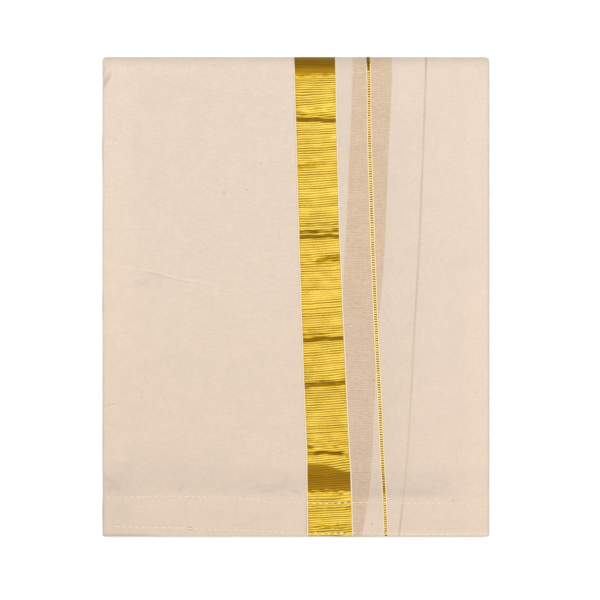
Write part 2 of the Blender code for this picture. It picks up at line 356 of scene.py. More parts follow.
def add_attribute(piece, name, values):
    """A value at each point, for the piece's material to read."""
    attribute = piece.data.attributes.new(name, "FLOAT", "POINT")
    attribute.data.foreach_set("value", np.ascontiguousarray(values, dtype=np.float32).ravel())


def joined(name, pieces):
    """Several pieces made one."""
    bpy.ops.object.select_all(action="DESELECT")
    for piece in pieces:
        piece.select_set(True)
    bpy.context.view_layer.objects.active = pieces[0]
    bpy.ops.object.join()
    pieces[0].name = name
    return pieces[0]


def solid_from(name, shapes, material):
    """Many small shapes in one mesh."""
    points, faces, count = [], [], 0
    for shape_points, shape_faces in shapes:
        faces += [[corner + count for corner in face] for face in shape_faces]
        points.append(shape_points)
        count += len(shape_points)
    return make_mesh(name, np.concatenate(points), faces, material)


# Plies

# A point of a ply's section: its line, whether the packet's outside is the sunk front panel there,
# its depth, its depth at the hem, the way its wrong side faces, and how much of the relief it takes
Knot = namedtuple("Knot", "line sunk depth hem_depth inside_x inside_down shown")


def between(start, end, share):
    """The line that lies a share of the way from one line to another."""
    middle = start.middle + (end.middle - start.middle) * share
    return Line(middle, start.drift + (end.drift - start.drift) * share)


def beside(line, distance):
    """A line a distance to the right of another, or to its left where negative."""
    return Line(line.middle + distance, line.drift)


def run(start, end, count, sunk, depth, hem_depth, wrong_side=1.0, shown=0.0):
    """Knots spread evenly from one line towards another, the last line left out."""
    lines = [between(start, end, step / count) for step in range(count)]
    return [Knot(line, sunk, depth, hem_depth, 0.0, wrong_side, shown) for line in lines]


def turn(edge, side, sunk, top, bottom, steps, wrong_side=1.0, shown=0.0):
    """Knots of a half round that just reaches an edge. top and bottom are (depth, hem depth)."""
    radius = (bottom[0] - top[0]) / 2
    knots = []
    for step in range(steps + 1):
        angle = np.pi * step / steps
        share = (1.0 - np.cos(angle)) / 2
        line = Line(edge - side * radius * (1.0 - np.sin(angle)), 0.0)
        depth, hem_depth = (high + (low - high) * share for high, low in zip(top, bottom))
        inside_x, inside_down = -side * np.sin(angle) * wrong_side, np.cos(angle) * wrong_side
        shown_here = shown * max(0.0, np.cos(angle))
        knots.append(Knot(line, sunk, depth, hem_depth, inside_x, inside_down, shown_here))
    return knots


def rows_along(spacing, under_spacing=9.0, fine=1.0, fold_steps=10, inset=0.15):
    """The rows of a ply, as travel and as how far it is turned under, from the hem's hidden edge on."""
    arc = np.linspace(0.0, np.pi, 6)[1:-1]
    under = np.linspace(HEM, NOSE + inset, int(HEM / 3))
    top = np.concatenate([
        np.arange(NOSE + inset, FINE_HEM, spacing * fine),
        np.arange(FINE_HEM, FOLD_START - FINE_FOLD, spacing),
        np.arange(FOLD_START - FINE_FOLD, FOLD_START, spacing * fine),
    ])
    crest = FOLD_START + FOLD_ARC / 2
    rising, falling = np.linspace(FOLD_START, crest, fold_steps + 1)[:-1], np.linspace(crest, UNDERSIDE, 10)
    fold = np.concatenate([rising, falling])
    last = WHOLE_TRAVEL - 1.0
    beneath = np.arange(UNDERSIDE + under_spacing, last - NOSE, under_spacing)
    tuck = np.linspace(last - NOSE, last - TUCK, 3)
    near_arc, far_arc = inset + NOSE * (1.0 - np.sin(arc[::-1])), last - NOSE * (1.0 - np.sin(arc))
    turned = [
        np.full(len(under), 2 * NOSE),
        NOSE * (1.0 - np.cos(arc[::-1])),
        np.zeros(len(top) + len(fold) + len(beneath)),
        NOSE * (1.0 - np.cos(arc)),
        np.full(len(tuck), 2 * NOSE),
    ]
    return np.concatenate([under, near_arc, top, fold, beneath, far_arc, tuck]), np.concatenate(turned)


def edge_dents(travel):
    """How far the front panel's folded edge is pushed in along its length, most near the far corner."""
    from_back = FOLD_START + REACH - travel
    dents = 0.28 * bell(from_back, 11.0, 1.6) + 0.22 * bell(from_back, 20.5, 2.2)
    return dents + 0.46 + 0.12 * noise_along(travel, 22.0, 41)


def rounded_corners(x, y):
    """How far a point is drawn in where the packet's corners are rounded, positive to the right."""
    inset = {}
    for place, gap, radius in (("far", BACK - y, 2.4), ("near", y - FRONT, 0.6)):
        over = np.clip(radius - gap, 0.0, radius)
        inset[place] = radius - np.sqrt(radius * radius - over * over)
    left_share = 1.0 - smooth(x, LEFT, LEFT + 7.0)
    right_share = smooth(x, RIGHT - 7.0, RIGHT)
    far = inset["far"] * (1.35 * left_share - 0.4 * right_share)
    return far + inset["near"] * (left_share - right_share)


def roll_off(x, from_hem):
    """How much the front panel's top rolls down to its folded side, and at that corner to the hem."""
    side = 0.45 * fading(x - LEFT, 1.1) * (1.0 + 0.35 * noise_along(from_hem, 9.0, 47))
    corner = 1.1 * (1.0 - smooth(from_hem, 0.0, 2.0)) * (1.0 - smooth(x, -100.0, -84.0))
    return side + corner


def hem_lift(x, from_hem):
    """The hem's doubled cloth, drawn down along its two rows of stitches."""
    upper, lower = at_stops(UPPER_ROW, x), at_stops(LOWER_ROW, x)
    doubled = 0.22 * (1.0 - smooth(from_hem, upper + 0.8, upper + 2.6))
    return doubled - 0.16 * bell(from_hem, upper, 0.8) - 0.12 * bell(from_hem, lower, 0.8)


# The hem's turned-in edge, felt through the cloth as a faint line of painted shade: (across, distance from
# the hemmed edge)
HEM_TURN = ((-127, 18.7), (-60, 18.7), (50, 11.3), (127, 11.3))

# How much painted shade greys the cloth beside the packet's two sides, painted light where below nothing:
# (distance from the hemmed edge, grey)
LEFT_SHADE = ((0, 0.15), (6, 0.3), (18, 0.38), (28, 0.42), (34, 0.36), (42, 0.22), (52, 0.0), (60, -0.05),
              (110, -0.08), (128, -0.28), (330, -0.28))
RIGHT_SHADE = ((0, -0.38), (150, -0.38), (185, -0.15), (330, -0.12))

# Soft places of painted shade, and of painted light where the grey is below nothing: middle, reach across
# and along, and grey
Shade = namedtuple("Shade", "x y across along grey")
SHADES = (
    Shade(73.6, 139.0, 15.0, 16.0, -0.35),
    Shade(42.0, 152.0, 16.0, 3.5, 0.50),
    Shade(43.0, -104.0, 12.0, 6.0, 0.45),
    Shade(38.0, -126.0, 6.0, 5.0, 0.50),
    Shade(36.0, -142.0, 8.0, 9.0, -0.35),
    Shade(-3.0, -145.0, 10.0, 12.0, -0.25),
)


def painted_cloth_shade(x, y, from_hem, creases):
    """How much painted shade greys the cloth: down the slope, in creases, over the hem's turn and at the
    edges, with painted light near the far end and along the flap's hem edge.
    """
    slope = 0.42 * plateau(from_hem, (25.0, 28.8), (36.0, 50.0)) * (1.0 - 0.65 * smooth(x, 84.0, 112.0))
    left_slope = plateau(from_hem, (38.0, 46.0), (46.0, 68.0)) * plateau(x, (-116.0, -106.0), (-50.0, -30.0))
    right_slope = plateau(from_hem, (24.0, 27.4), (29.0, 35.0)) * plateau(x, (28.0, 34.0), (80.0, 108.0))
    slope = slope + 0.38 * left_slope + 0.60 * right_slope
    in_creases = 2.4 * np.clip(-pressed(x, y, creases), 0.0, 0.8)
    turn_edge = at_stops(HEM_TURN, x)
    turned_hem = 0.16 * (1.0 - smooth(from_hem, turn_edge - 0.8, turn_edge + 0.8))
    sides = (0.28 + 1.5 * smooth(from_hem, 252.0, 280.0)) * fading(x - LEFT, 0.8)
    sides = sides + 0.35 * fading(RIGHT - x, 0.5) + 0.9 * fading(BACK - y, 0.5)
    sides = sides + 1.9 * fading(from_hem, 1.0) * (1.0 - smooth(x, -104.0, -82.0))
    sides = sides + at_stops(LEFT_SHADE, from_hem) * (1.0 - smooth(x, -112.0, -101.0))
    sides = sides + at_stops(RIGHT_SHADE, from_hem) * smooth(x, 106.0, 118.0)
    far_end = 0.28 * smooth(from_hem, 302.0, 308.0) * (1.0 - smooth(x, 0.0, 30.0))
    lit_edge = 0.55 * smooth(x, 50.0, 70.0) * (1.0 - smooth(from_hem, 2.4, 4.4))
    total = slope + in_creases + turned_hem + sides - far_end - lit_edge
    for shade in SHADES:
        reach = ((x - shade.x) / shade.across) ** 2 + ((y - shade.y) / shade.along) ** 2
        total = total + shade.grey * np.exp(-reach)
    return np.clip(total, -0.7, 2.4)


def ply(name, knots, rows, creases, seed, material, dented=False):
    """A ply of cloth drawn through its section's knots along its rows."""
    travel, turned = (part[:, None] for part in rows)
    columns = [np.array(part)[None, :] for part in zip(*[(*knot.line, *knot[1:]) for knot in knots])]
    middle, drift, sunk, depth, hem_depth, inside_x, inside_down, shown = columns
    from_hem = np.minimum(travel, FOLD_START)
    sunk = sunk * sunk_at(from_hem)
    depth = depth + (hem_depth - depth) * hem_share(from_hem) + turned * inside_down
    y = on_packet(0.0, travel, depth, sunk)[..., 1]
    x = swayed(middle + drift * y, y, travel)
    seen = shown * on_top(travel)
    depth = depth - seen * (relief(x, y, creases, seed) + hem_lift(x, from_hem))
    if dented:
        depth = depth + seen * roll_off(x, from_hem)
    x = x + turned * inside_x
    if dented:
        near_edge = 1.0 - smooth(x, LEFT, LEFT + 9.0)
        x = x + near_edge * edge_dents(travel) * on_top(travel)
    x = x + rounded_corners(x, on_packet(0.0, travel, depth, sunk)[..., 1])
    points = on_packet(x, travel, depth, sunk)
    piece = make_mesh(name, points, grid_faces(len(travel), len(knots)), material)
    if np.any(shown):
        # The painted shade that the cloth's material greys it by
        add_attribute(piece, "grey", seen * painted_cloth_shade(points[..., 0], points[..., 1], from_hem, creases))
    return thicken(piece, CLOTH)


# Depths of the plies below the packet's outside: (along the packet, at the hem)
SECOND_DEPTH = (FLAP_STEP + HALF_PLY, FLAP_STEP + HEM_SUNK + HALF_PLY)
LOWER_DEPTH = (2 * FLAP_STEP + HALF_PLY, 2 * FLAP_STEP + HEM_SUNK + HALF_PLY)
FLAP_LEG_DEPTH = (3 * FLAP_STEP + HALF_PLY, 3 * FLAP_STEP + HEM_SUNK + HALF_PLY)
SHOWN_DEPTH = (HALF_PLY, HALF_PLY)
UNDER_BAND_DEPTH = tuple(depth + 0.4 for depth in SECOND_DEPTH)
INNER_LINE_DEPTH = tuple(depth - 0.3 for depth in SECOND_DEPTH)
PANEL_LEG_DEPTH = (2.1, 2.5)


def front_cloth(cotton):
    """The second ply, the right turn, the ply under the flap, the panel that shows and the left turn."""
    right_edge = RIGHT - FLAP_STEP - HALF_PLY
    right_start = Line(right_edge - (LOWER_DEPTH[0] - SECOND_DEPTH[0]) / 2, 0.0)
    left_start = Line(LEFT + PANEL_LEG_DEPTH[0] / 2 + HALF_PLY, 0.0)
    slope_start = beside(INNER_BAND_LEFT, -9.0)
    slope_end = beside(INNER_BAND_LEFT, -3.0)
    dip_start = beside(BAND_LEFT, -1.7)
    dip_end = beside(BAND_LEFT, -0.5)
    near_left = Line(LEFT + 14.0, 0.0)
    leg_start, leg_end = Line(LEFT + 2.0, 0.0), Line(LEFT + 5.0, 0.0)
    shown_count = int((dip_start.middle - near_left.middle) / CELL)
    knots = run(beside(INNER_BAND_RIGHT, 0.2), right_start, 6, 0.0, *SECOND_DEPTH, wrong_side=-1.0)
    knots += turn(right_edge, 1, 0.0, SECOND_DEPTH, LOWER_DEPTH, 8, wrong_side=-1.0)
    knots += run(right_start, slope_end, 6, 0.0, *LOWER_DEPTH)[1:]
    knots += run(slope_end, slope_start, 1, 0.0, *LOWER_DEPTH)
    knots += run(slope_start, beside(BAND_LEFT, 3.0), 5, 0.0, *UNDER_BAND_DEPTH)
    knots += run(beside(BAND_LEFT, 1.0), dip_end, 1, 0.0, *UNDER_BAND_DEPTH)
    knots += run(dip_end, dip_start, 1, 0.0, *SECOND_DEPTH)
    knots += run(dip_start, near_left, shown_count, 1.0, *SHOWN_DEPTH, shown=1.0)
    knots += run(near_left, left_start, 16, 1.0, *SHOWN_DEPTH, shown=1.0)
    knots += turn(LEFT + HALF_PLY, -1, 1.0, SHOWN_DEPTH, PANEL_LEG_DEPTH, 12, shown=1.0)
    knots += run(leg_start, leg_end, 2, 1.0, *PANEL_LEG_DEPTH, wrong_side=-1.0)[1:]
    rows = rows_along(ROW_CELL, fine=0.5)
    return ply("front_cloth", knots, rows, PANEL_CREASES, PANEL_SEED, cotton, dented=True)


def inner_strip(name, left, right, depth, material):
    """A border or line of the second ply, hidden by the flap except at its ends."""
    knots = run(left, right, 8, 0.0, *depth)
    knots.append(Knot(right, 0.0, *depth, 0.0, 1.0, 0.0))
    piece = ply(name, knots, rows_along(2.4), (), 3, material)
    # An even painted shade over the hidden strip and its valleys
    for mark, value in (("painted_shade", 0.3), ("valley", 0.3), ("pale", 0.0)):
        add_attribute(piece, mark, np.full(len(piece.data.vertices), value))
    return piece


def flap_cloth(cotton):
    """The flap: from the broad border across the cream strip and the field to the right turn."""
    start = Line(RIGHT - (FLAP_LEG_DEPTH[0] + HALF_PLY) / 2, 0.0)
    count = int((start.middle - BAND_RIGHT.middle) / CELL)
    knots = run(beside(BAND_RIGHT, -0.4), start, count, 0.0, *SHOWN_DEPTH, shown=1.0)
    knots += turn(RIGHT - HALF_PLY, 1, 0.0, SHOWN_DEPTH, FLAP_LEG_DEPTH, 14, shown=1.0)
    knots += run(start, beside(start, -3.0), 2, 0.0, *FLAP_LEG_DEPTH, wrong_side=-1.0)[1:]
    rows = rows_along(ROW_CELL, fine=0.5, inset=0.4)
    return ply("flap_cloth", knots, rows, FLAP_CREASES, FLAP_SEED, cotton)


# The gold border and line

def share_across(x, y, left, right):
    """0 at one line and 1 at the other."""
    return (x - across(left, y)) / (across(right, y) - across(left, y))


def pleat_depth(share, travel):
    """How deep the folds pressed across the border go."""
    total = np.zeros(np.broadcast(share, travel).shape)
    patchy = 1.0 + 0.20 * value_noise(28.0 * share, 1.6 * travel, 2.4, 64)
    for pleat in BAND_PLEATS:
        centre = pleat.left + (pleat.right - pleat.left) * share + 0.2 * np.sin(share * 9.0 + pleat.left)
        centre = centre + 0.30 * value_noise(28.0 * share, 0.0 * travel + pleat.left, 5.0, 63)
        rise, fall = (pleat.start - 0.12, pleat.start + 0.02), (pleat.end - 0.02, pleat.end + 0.12)
        total += pleat.depth * bell(travel, centre, pleat.width, 3) * plateau(share, rise, fall)
    return total * patchy


def settle(share):
    """How much lower the flap's border lies, as it comes down to rest on the front panel."""
    return SETTLE * (1.0 - smooth(share, -0.1, 1.15))


def puckered(travel):
    """Where the border is drawn together beside its two rows of stitches."""
    return bell(travel, 19.8, 1.8) + bell(travel, 6.6, 2.2)


def rib_phase(x, y, travel, share):
    """Which rib a point is on, and how far through it: the ribs waver, and rise towards the right."""
    from_hem = y - FRONT
    drawn_in = 0.18 * np.maximum(from_hem - CROWDED_FROM, 0.0)
    rise = at_stops(RIB_RISE, travel) * share**1.5
    waver = 0.45 * value_noise(0.30 * x, 1.1 * travel, 9.0, 21)
    waver = waver + 0.20 * value_noise(0.7 * x, travel, 3.4, 22)
    waver = waver + 0.5 * puckered(travel) * value_noise(1.1 * x, 1.2 * travel, 3.0, 24)
    return (from_hem + drawn_in - rise + waver) / RIB_PITCH


def rib_height(phase, x, travel, pressed_flat):
    """Soft ribs, nearly flat beside a pressed fold, and how deep in a valley a point is."""
    valley = 0.5 + 0.5 * np.cos(2.0 * np.pi * phase)
    rng = np.random.default_rng(31)
    each = rng.uniform(0.6, 1.0, 512)[np.round(phase).astype(int) % 512]
    each = np.clip(each + 0.16 * value_noise(0.6 * x, travel, 4.0, 33), 0.4, 1.0)
    flat = np.clip(1.0 - 1.1 * pressed_flat, 0.22, 1.0)
    return RIB_HEIGHT * (1.0 - valley * (0.4 + 0.6 * each)) * flat, valley * each


def bent_away(share, travel):
    """1 where the border slopes down to the hem or over the far fold, with a ragged edge by the hem."""
    upper = 47.6 - 5.4 * smooth(share, 0.25, 1.0)
    lower = 29.8 + 2.4 * value_noise(20.0 * share, 3.0 * travel, 2.2, 61) - 0.8 * smooth(share, 0.45, 0.7)
    slope = plateau(travel, (lower - 0.5, lower + 0.5), (upper - 0.8, upper + 0.8))
    edge = FOLD_START + 1.4 * value_noise(20.0 * share, 2.4 * travel, 3.0, 62) + 1.2 * (share - 0.4)
    edge = edge + 1.6 * fading(share, 0.12)
    far = 1.14 * smooth(travel, edge - 5.8, edge - 0.9) - 0.24 * smooth(travel, edge + 1.2, edge + 3.6)
    return np.clip(slope + far, 0.0, 1.15)


def painted_shade_of(bent, deep):
    """Painted dark reflection where the metal thread is bent away, and painted shade in the pressed folds.
    """
    return np.clip(bent + 2.6 * np.clip(deep - 0.26, 0.0, 1.0), 0.0, 1.5)


def zari_band(zari):
    """The broad gold border, its cross ribs wavering and pressed by folds."""
    rows = rows_along(RIB_PITCH / 6, under_spacing=12.0, fold_steps=48, inset=0.3)
    travel, turned = (part[:, None] for part in rows)
    share = np.concatenate([[0.0, 0.006], np.linspace(0.02, 0.98, 20), [0.994, 1.0]])[None, :]
    from_hem = np.minimum(travel, FOLD_START)
    y = on_packet(0.0, travel, 0.0)[..., 1]
    x = across(BAND_LEFT, y) + (across(BAND_RIGHT, y) - across(BAND_LEFT, y)) * share
    deep = pleat_depth(share, travel)
    bent = bent_away(share, travel)
    pressed_flat = 0.4 * sum(bell(travel, pleat.left, 1.6) for pleat in BAND_PLEATS)
    outer = 1.0 - smooth(turned, 0.0, NOSE)
    ribs, valley = rib_height(rib_phase(x, y, travel, share), x, travel, pressed_flat + 0.6 * bent)
    ribs = ribs * outer * (1.0 - smooth(travel, FOLD_START + 9.0, FOLD_START + 12.0))
    depth = turned + HALF_PLY - ribs + 0.34 * deep * outer
    depth = depth - on_top(travel) * (BAND_RELIEF * relief(x, y, (), FLAP_SEED) + hem_lift(x, from_hem))
    crumpled = sum(bell(travel - pleat.left, 2.0, 3.0) for pleat in BAND_PLEATS)
    rumple = np.clip(crumpled, 0.0, 1.0) * value_noise(0.6 * x, 2.0 * travel, 2.6, 23)
    depth = depth - 0.08 * rumple * outer
    points = on_packet(swayed(x, y, travel), travel, depth, settle(share))
    piece = make_mesh("zari_band_ribs", points, grid_faces(travel.size, share.size), zari)
    # Painted shade on the gold: shadow notches in the valleys at both sides, most by the left cord, darker
    # specks beside the stitches, dark reflection where it bends away and shade in folds and crumples
    notch = 0.9 * valley * (fading(share, 0.03) + 0.4 * fading(1.0 - share, 0.02))
    specks = 0.9 * puckered(travel) * np.clip(value_noise(1.1 * x, 2.4 * travel, 3.0, 25) - 0.1, 0.0, 1.0)
    painted_shade = painted_shade_of(bent, deep) + notch + 0.30 * np.clip(-rumple, 0.0, 1.0) + specks
    add_attribute(piece, "painted_shade", painted_shade * outer)
    # Painted shade in the valleys between ribs, less where the border bends away
    valley = valley * (1.0 - bent * np.where(travel < FINE_HEM, 0.25, 0.45))
    valley = valley * outer * smooth(travel, 0.6, 2.4)
    add_attribute(piece, "valley", np.broadcast_to(valley, points.shape[:2]))
    add_attribute(piece, "pale", np.broadcast_to(0.8 * (1.0 - outer), points.shape[:2]))
    return thicken(piece, 0.25)


def zari_line(zari):
    """The thin gold line: short floats of metal thread with dark gaps between."""
    rows = rows_along(RIB_PITCH / 8, under_spacing=12.0, fold_steps=60, inset=0.4)
    travel, turned = (part[:, None] for part in rows)
    share = np.array([0.0, 0.03, 0.12, 0.3, 0.5, 0.7, 0.88, 0.97, 1.0])[None, :]
    y = on_packet(0.0, travel, 0.0)[..., 1]
    x = across(LINE_LEFT, y) + (across(LINE_RIGHT, y) - across(LINE_LEFT, y)) * share
    floats = (travel + 0.35 * noise_along(travel, 8.0, 19)) / RIB_PITCH
    rng = np.random.default_rng(17)
    each = rng.uniform(0.55, 1.0, 512)[np.floor(floats).astype(int) % 512]
    gap = bell(floats - np.floor(floats), 0.5, 0.31, 4) * each
    middle = 1.0 - smooth(np.abs(share - 0.5), 0.34, 0.50)
    outer = (1.0 - smooth(turned, 0.0, NOSE)) * (1.0 - smooth(travel, UNDERSIDE - 8.0, UNDERSIDE - 2.0))
    crown = 0.10 * np.sin(np.pi * share) * (1.0 - 0.8 * gap)
    from_hem = np.minimum(travel, FOLD_START)
    lift = on_top(travel) * (relief(x, y, FLAP_CREASES, FLAP_SEED) + hem_lift(x, from_hem))
    depth = turned - 0.12 + HALF_PLY - crown * outer - lift
    points = on_packet(swayed(x, y, travel), travel, depth)
    piece = make_mesh("zari_line_floats", points, grid_faces(travel.size, share.size), zari)
    # Painted shade in the gaps between the floats, and painted dark reflection over the far fold and on the
    # slope to the hem
    dark_end = smooth(travel, FOLD_START - 1.2, FOLD_START + 0.8) + 0.7 * bell(travel, 30.4, 2.8, 4)
    add_attribute(piece, "painted_shade", np.clip(gap * middle * 1.5 + dark_end, 0.0, 1.5))
    add_attribute(piece, "valley", np.broadcast_to(gap * middle, points.shape[:2]))
    add_attribute(piece, "pale", 0.65 * (1.0 - gap * middle) * np.clip(1.0 - dark_end, 0.0, 1.0))
    return thicken(piece, 0.2)


# Selvage cords beside the gold: offset from their line, and how far the ribs draw them in and out
Cord = namedtuple("Cord", "name line offset radius scallop sunk depth")
BAND_CORDS = (
    Cord("band_cord_left", BAND_LEFT, -0.30, 0.52, 0.16, SETTLE, 0.02),
    Cord("band_cord_right", BAND_RIGHT, 0.20, 0.52, 0.10, 0.0, -0.10),
)
LINE_CORDS = (
    Cord("line_cord_left", LINE_LEFT, -0.15, 0.45, 0.06, 0.0, -0.08),
    Cord("line_cord_right", LINE_RIGHT, 0.15, 0.45, 0.06, 0.0, -0.08),
)
CORD_SIDES = 6


def selvage_cord(cord, material):
    """A fine tube along a border's edge, its side drawn in and out by each rib."""
    travel = np.arange(0.4, UNDERSIDE, RIB_PITCH / 4)[:, None]
    angle = np.linspace(0.0, 2.0 * np.pi, CORD_SIDES + 1)[:-1][None, :]
    y = on_packet(0.0, travel, 0.0)[..., 1]
    swing = cord.scallop * np.sin(2.0 * np.pi * travel / RIB_PITCH)
    swing = swing + 0.5 * cord.scallop * noise_along(travel, 6.0, 3)
    girth = cord.radius * (1.0 + 0.18 * np.cos(2.0 * np.pi * travel / RIB_PITCH))
    centre = across(cord.line, y) + cord.offset + swing
    x = centre + girth * np.cos(angle)
    from_hem = np.minimum(travel, FOLD_START)
    lift = on_top(travel) * (BAND_RELIEF * relief(centre, y, (), FLAP_SEED) + hem_lift(centre, from_hem))
    at_fold = 0.5 * smooth(travel, FOLD_START, FOLD_START + 6.0)
    depth = cord.depth + at_fold - lift - 0.8 * girth * np.sin(angle)
    points = on_packet(swayed(x, y, travel), travel, depth, cord.sunk)
    return make_mesh(cord.name, points, tube_faces(len(travel), CORD_SIDES), material)


# The hidden layers

def layer_start(x, y, from_hem):
    """How deep the hidden layers begin, and how far the packet's outside is sunk there."""
    share = hem_share(from_hem)
    flap = smooth(x, across(BAND_LEFT, y) - 5.0, across(BAND_LEFT, y) - 1.0)
    slope = smooth(x, across(INNER_BAND_LEFT, y) - 9.0, across(INNER_BAND_LEFT, y) - 3.0)
    depth = (0.65 + 0.4 * share) * (1.0 - flap) + (1.9 + 0.85 * share) * flap + 1.3 * slope
    left_turn = 1.0 - smooth(x, LEFT + 5.2, LEFT + 6.4)
    right_turn = smooth(x, RIGHT - 6.6, RIGHT - 5.4)
    depth = depth + (2.5 + 0.4 * share - depth) * left_turn + (4.45 + 0.5 * share - depth) * right_turn
    return depth, (1.0 - flap) * sunk_at(from_hem)


# The hidden passes: how far each stops short of the packet's left, right, hemmed and under edges
Layer = namedtuple("Layer", "left right front beneath")
LAYERS = (
    Layer(0.9, 0.5, 1.4, 1.0),
    Layer(0.3, 1.1, 0.8, 2.2),
    Layer(1.2, 0.7, 2.4, 0.9),
    Layer(0.5, 0.3, 1.2, 1.8),
    Layer(1.0, 0.9, 2.0, 1.3),
    Layer(0.6, 1.3, 1.0, 2.6),
)
LAYER_CELL = 3.6
LAYER_ROUND = 0.42


def layer_rows(layer):
    """The rows of a hidden layer, and how thick it is at each: its two ends are rounded."""
    ends = np.array([0.0, 0.12, 0.4])
    last = WHOLE_TRAVEL - layer.beneath
    travel = np.concatenate([
        layer.front + ends,
        np.arange(layer.front + 3.0, FOLD_START, LAYER_CELL),
        np.linspace(FOLD_START, UNDERSIDE, 20),
        np.arange(UNDERSIDE + LAYER_CELL, last - 2.0, LAYER_CELL),
        last - ends[::-1],
    ])
    thickness = np.ones(len(travel))
    thickness[[0, -1]], thickness[[1, -2]] = 0.25, 0.75
    return travel[:, None], thickness[:, None]


def layer_section(low, high):
    """A flat ring round a layer between its two sides: across, and up or down from its middle."""
    sides = np.linspace(-np.pi / 2, np.pi / 2, 7)
    flat = np.linspace(0.0, 1.0, 26)[1:-1]
    right = high - LAYER_ROUND + LAYER_ROUND * np.cos(sides)
    left = low + LAYER_ROUND - LAYER_ROUND * np.cos(sides)
    over = high - LAYER_ROUND - (high - low - 2 * LAYER_ROUND) * flat
    up = np.ones(len(flat))
    rise = np.concatenate([np.sin(sides), up, -np.sin(sides), -up])[None, :]
    return np.concatenate([right, over, left, over[:, ::-1]], axis=1), rise


def folded_layers(cotton):
    """The hidden passes, each a flat double ply bent round the far fold, with uneven rounded sides."""
    pieces = []
    for index, layer in enumerate(LAYERS):
        travel, thickness = layer_rows(layer)
        low = LEFT + (0.3 * noise_along(travel, 17.0, 50 + index) + layer.left)
        high = RIGHT - (0.3 * noise_along(travel, 21.0, 70 + index) + layer.right)
        x, rise = layer_section(low, high)
        inward = (index + 0.5) / len(LAYERS) - 0.46 / len(LAYERS) * rise * thickness
        travel = travel * np.ones_like(x)
        y = on_packet(0.0, travel, 0.0)[..., 1]
        depth, sunk = layer_start(x, y, np.minimum(travel, FOLD_START))
        x = x + rounded_corners(x, on_packet(0.0, travel, depth, sunk, inward)[..., 1])
        points = on_packet(x, travel, depth, sunk, inward)
        pieces.append(make_mesh(f"folded_layer_{index}", points, tube_faces(*x.shape), cotton))
    return joined("inner_folds", pieces)


# Stitches, needle holes and specks

def top_of(x, from_hem):
    """The height of the cloth that shows at a place."""
    y = FRONT + from_hem
    x = 2.0 * x - swayed(x, y, from_hem)
    share = share_across(x, y, BAND_LEFT, BAND_RIGHT)
    on_panel = share < 0.0
    band_relief = BAND_RELIEF * relief(x, y, (), FLAP_SEED)
    flap_relief = np.where(share > 1.0, relief(x, y, FLAP_CREASES, FLAP_SEED), band_relief)
    panel_relief = relief(x, y, PANEL_CREASES, PANEL_SEED) - roll_off(x, from_hem)
    lift = np.where(on_panel, panel_relief, flap_relief) + hem_lift(x, from_hem)
    flap_sunk = np.where(share < 1.0, settle(share) - 0.8 * RIB_HEIGHT, 0.0)
    return height(from_hem) - np.where(on_panel, sunk_at(from_hem), flap_sunk) + lift


def stitch(start, end, width, rise):
    """One running stitch: a plump, slightly twisted thread that dives in at both ends."""
    rings, around = 9, 8
    along = np.linspace(0.0, 1.0, rings)[:, None]
    angle = np.linspace(0.0, 2.0 * np.pi, around + 1)[None, :-1] + 2.2 * along
    girth = np.sqrt(np.clip(1.0 - (2.0 * along - 1.0) ** 2, 0.02, 1.0))
    strand = 1.0 + 0.16 * np.cos(2.0 * (angle - 5.5 * along))
    direction = (end - start) / np.linalg.norm((end - start)[:2])
    aside = np.array([-direction[1], direction[0], 0.0])
    centre = start + (end - start) * along
    reach = width / 2 * girth * strand * np.cos(angle)
    up = rise * girth * strand * np.sin(angle) + rise * 0.5 * (girth - 0.6)
    points = centre[:, None, :] + reach[..., None] * aside + up[..., None] * np.array([0.0, 0.0, 1.0])
    return points.reshape(-1, 3), tube_faces(rings, around)


def stitch_spans():
    """Where the stitches of both rows start and end, how far each slants, and how plump it is."""
    rng = np.random.default_rng(29)
    spans = []
    for row, pitch in ((UPPER_ROW, UPPER_PITCH), (LOWER_ROW, LOWER_PITCH)):
        x = row[0][0] + 1.0
        while x < RIGHT - 2.0:
            length = pitch - 0.55 + rng.uniform(-0.15, 0.15)
            drop = rng.uniform(-0.10, 0.10)
            spans.append((row, x, x + length, drop, rng.uniform(0.85, 1.1)))
            x += pitch + rng.uniform(-0.12, 0.12)
    return spans


def sewn_point(row, x, drop):
    """A point on the cloth that shows, a little off a row of stitches."""
    from_hem = at_stops(row, x) + drop
    return np.array([x, FRONT + from_hem, float(top_of(np.array(x), np.array(from_hem)))])


def hem_stitches(thread):
    """Two rows of running stitch on the cotton."""
    plain = []
    for row, begin, finish, drop, plump in stitch_spans():
        start, end = sewn_point(row, begin, drop), sewn_point(row, finish, -drop)
        share = share_across((begin + finish) / 2, start[1], BAND_LEFT, BAND_RIGHT)
        if not 0.0 < share < 1.0:
            plain.append(stitch(start, end, 0.85 * plump, 0.24 * plump))
    return solid_from("hem_stitches", plain, thread)


def border_stitches(bright_thread, gold):
    """The same rows across the gold border, where they pull the metal thread into small puffs."""
    rng = np.random.default_rng(53)
    crossing, puffs = [], []
    rows = ((UPPER_ROW, UPPER_PITCH, 0.45, 1.5), (LOWER_ROW, LOWER_PITCH, 0.65, 2.2))
    for row, pitch, lower, size in rows:
        y = FRONT + at_stops(row, 15.0)
        x = across(BAND_LEFT, y) + 2.4
        while x < across(BAND_RIGHT, y) - 1.0:
            high, low, lean = rng.uniform(0.5, 0.9), rng.uniform(0.5, 0.9), rng.uniform(0.2, 0.7)
            top, foot = sewn_point(row, x - lean, high - lower), sewn_point(row, x + lean, -low - lower)
            crossing.append(stitch(top, foot, rng.uniform(0.45, 0.75), 0.12))
            drop, reach = rng.uniform(-0.3, 0.3) - lower, 0.36 * pitch
            middle = x + pitch / 2
            start = sewn_point(row, middle - reach, drop)
            end = sewn_point(row, middle + reach, drop + 0.2)
            puffs.append(stitch(start, end, size * rng.uniform(0.7, 1.1), 0.11 * size))
            x += pitch + rng.uniform(-0.5, 0.5)
    crossing_piece = solid_from("border_stitches", crossing, bright_thread)
    return crossing_piece, solid_from("border_puffs", puffs, gold)


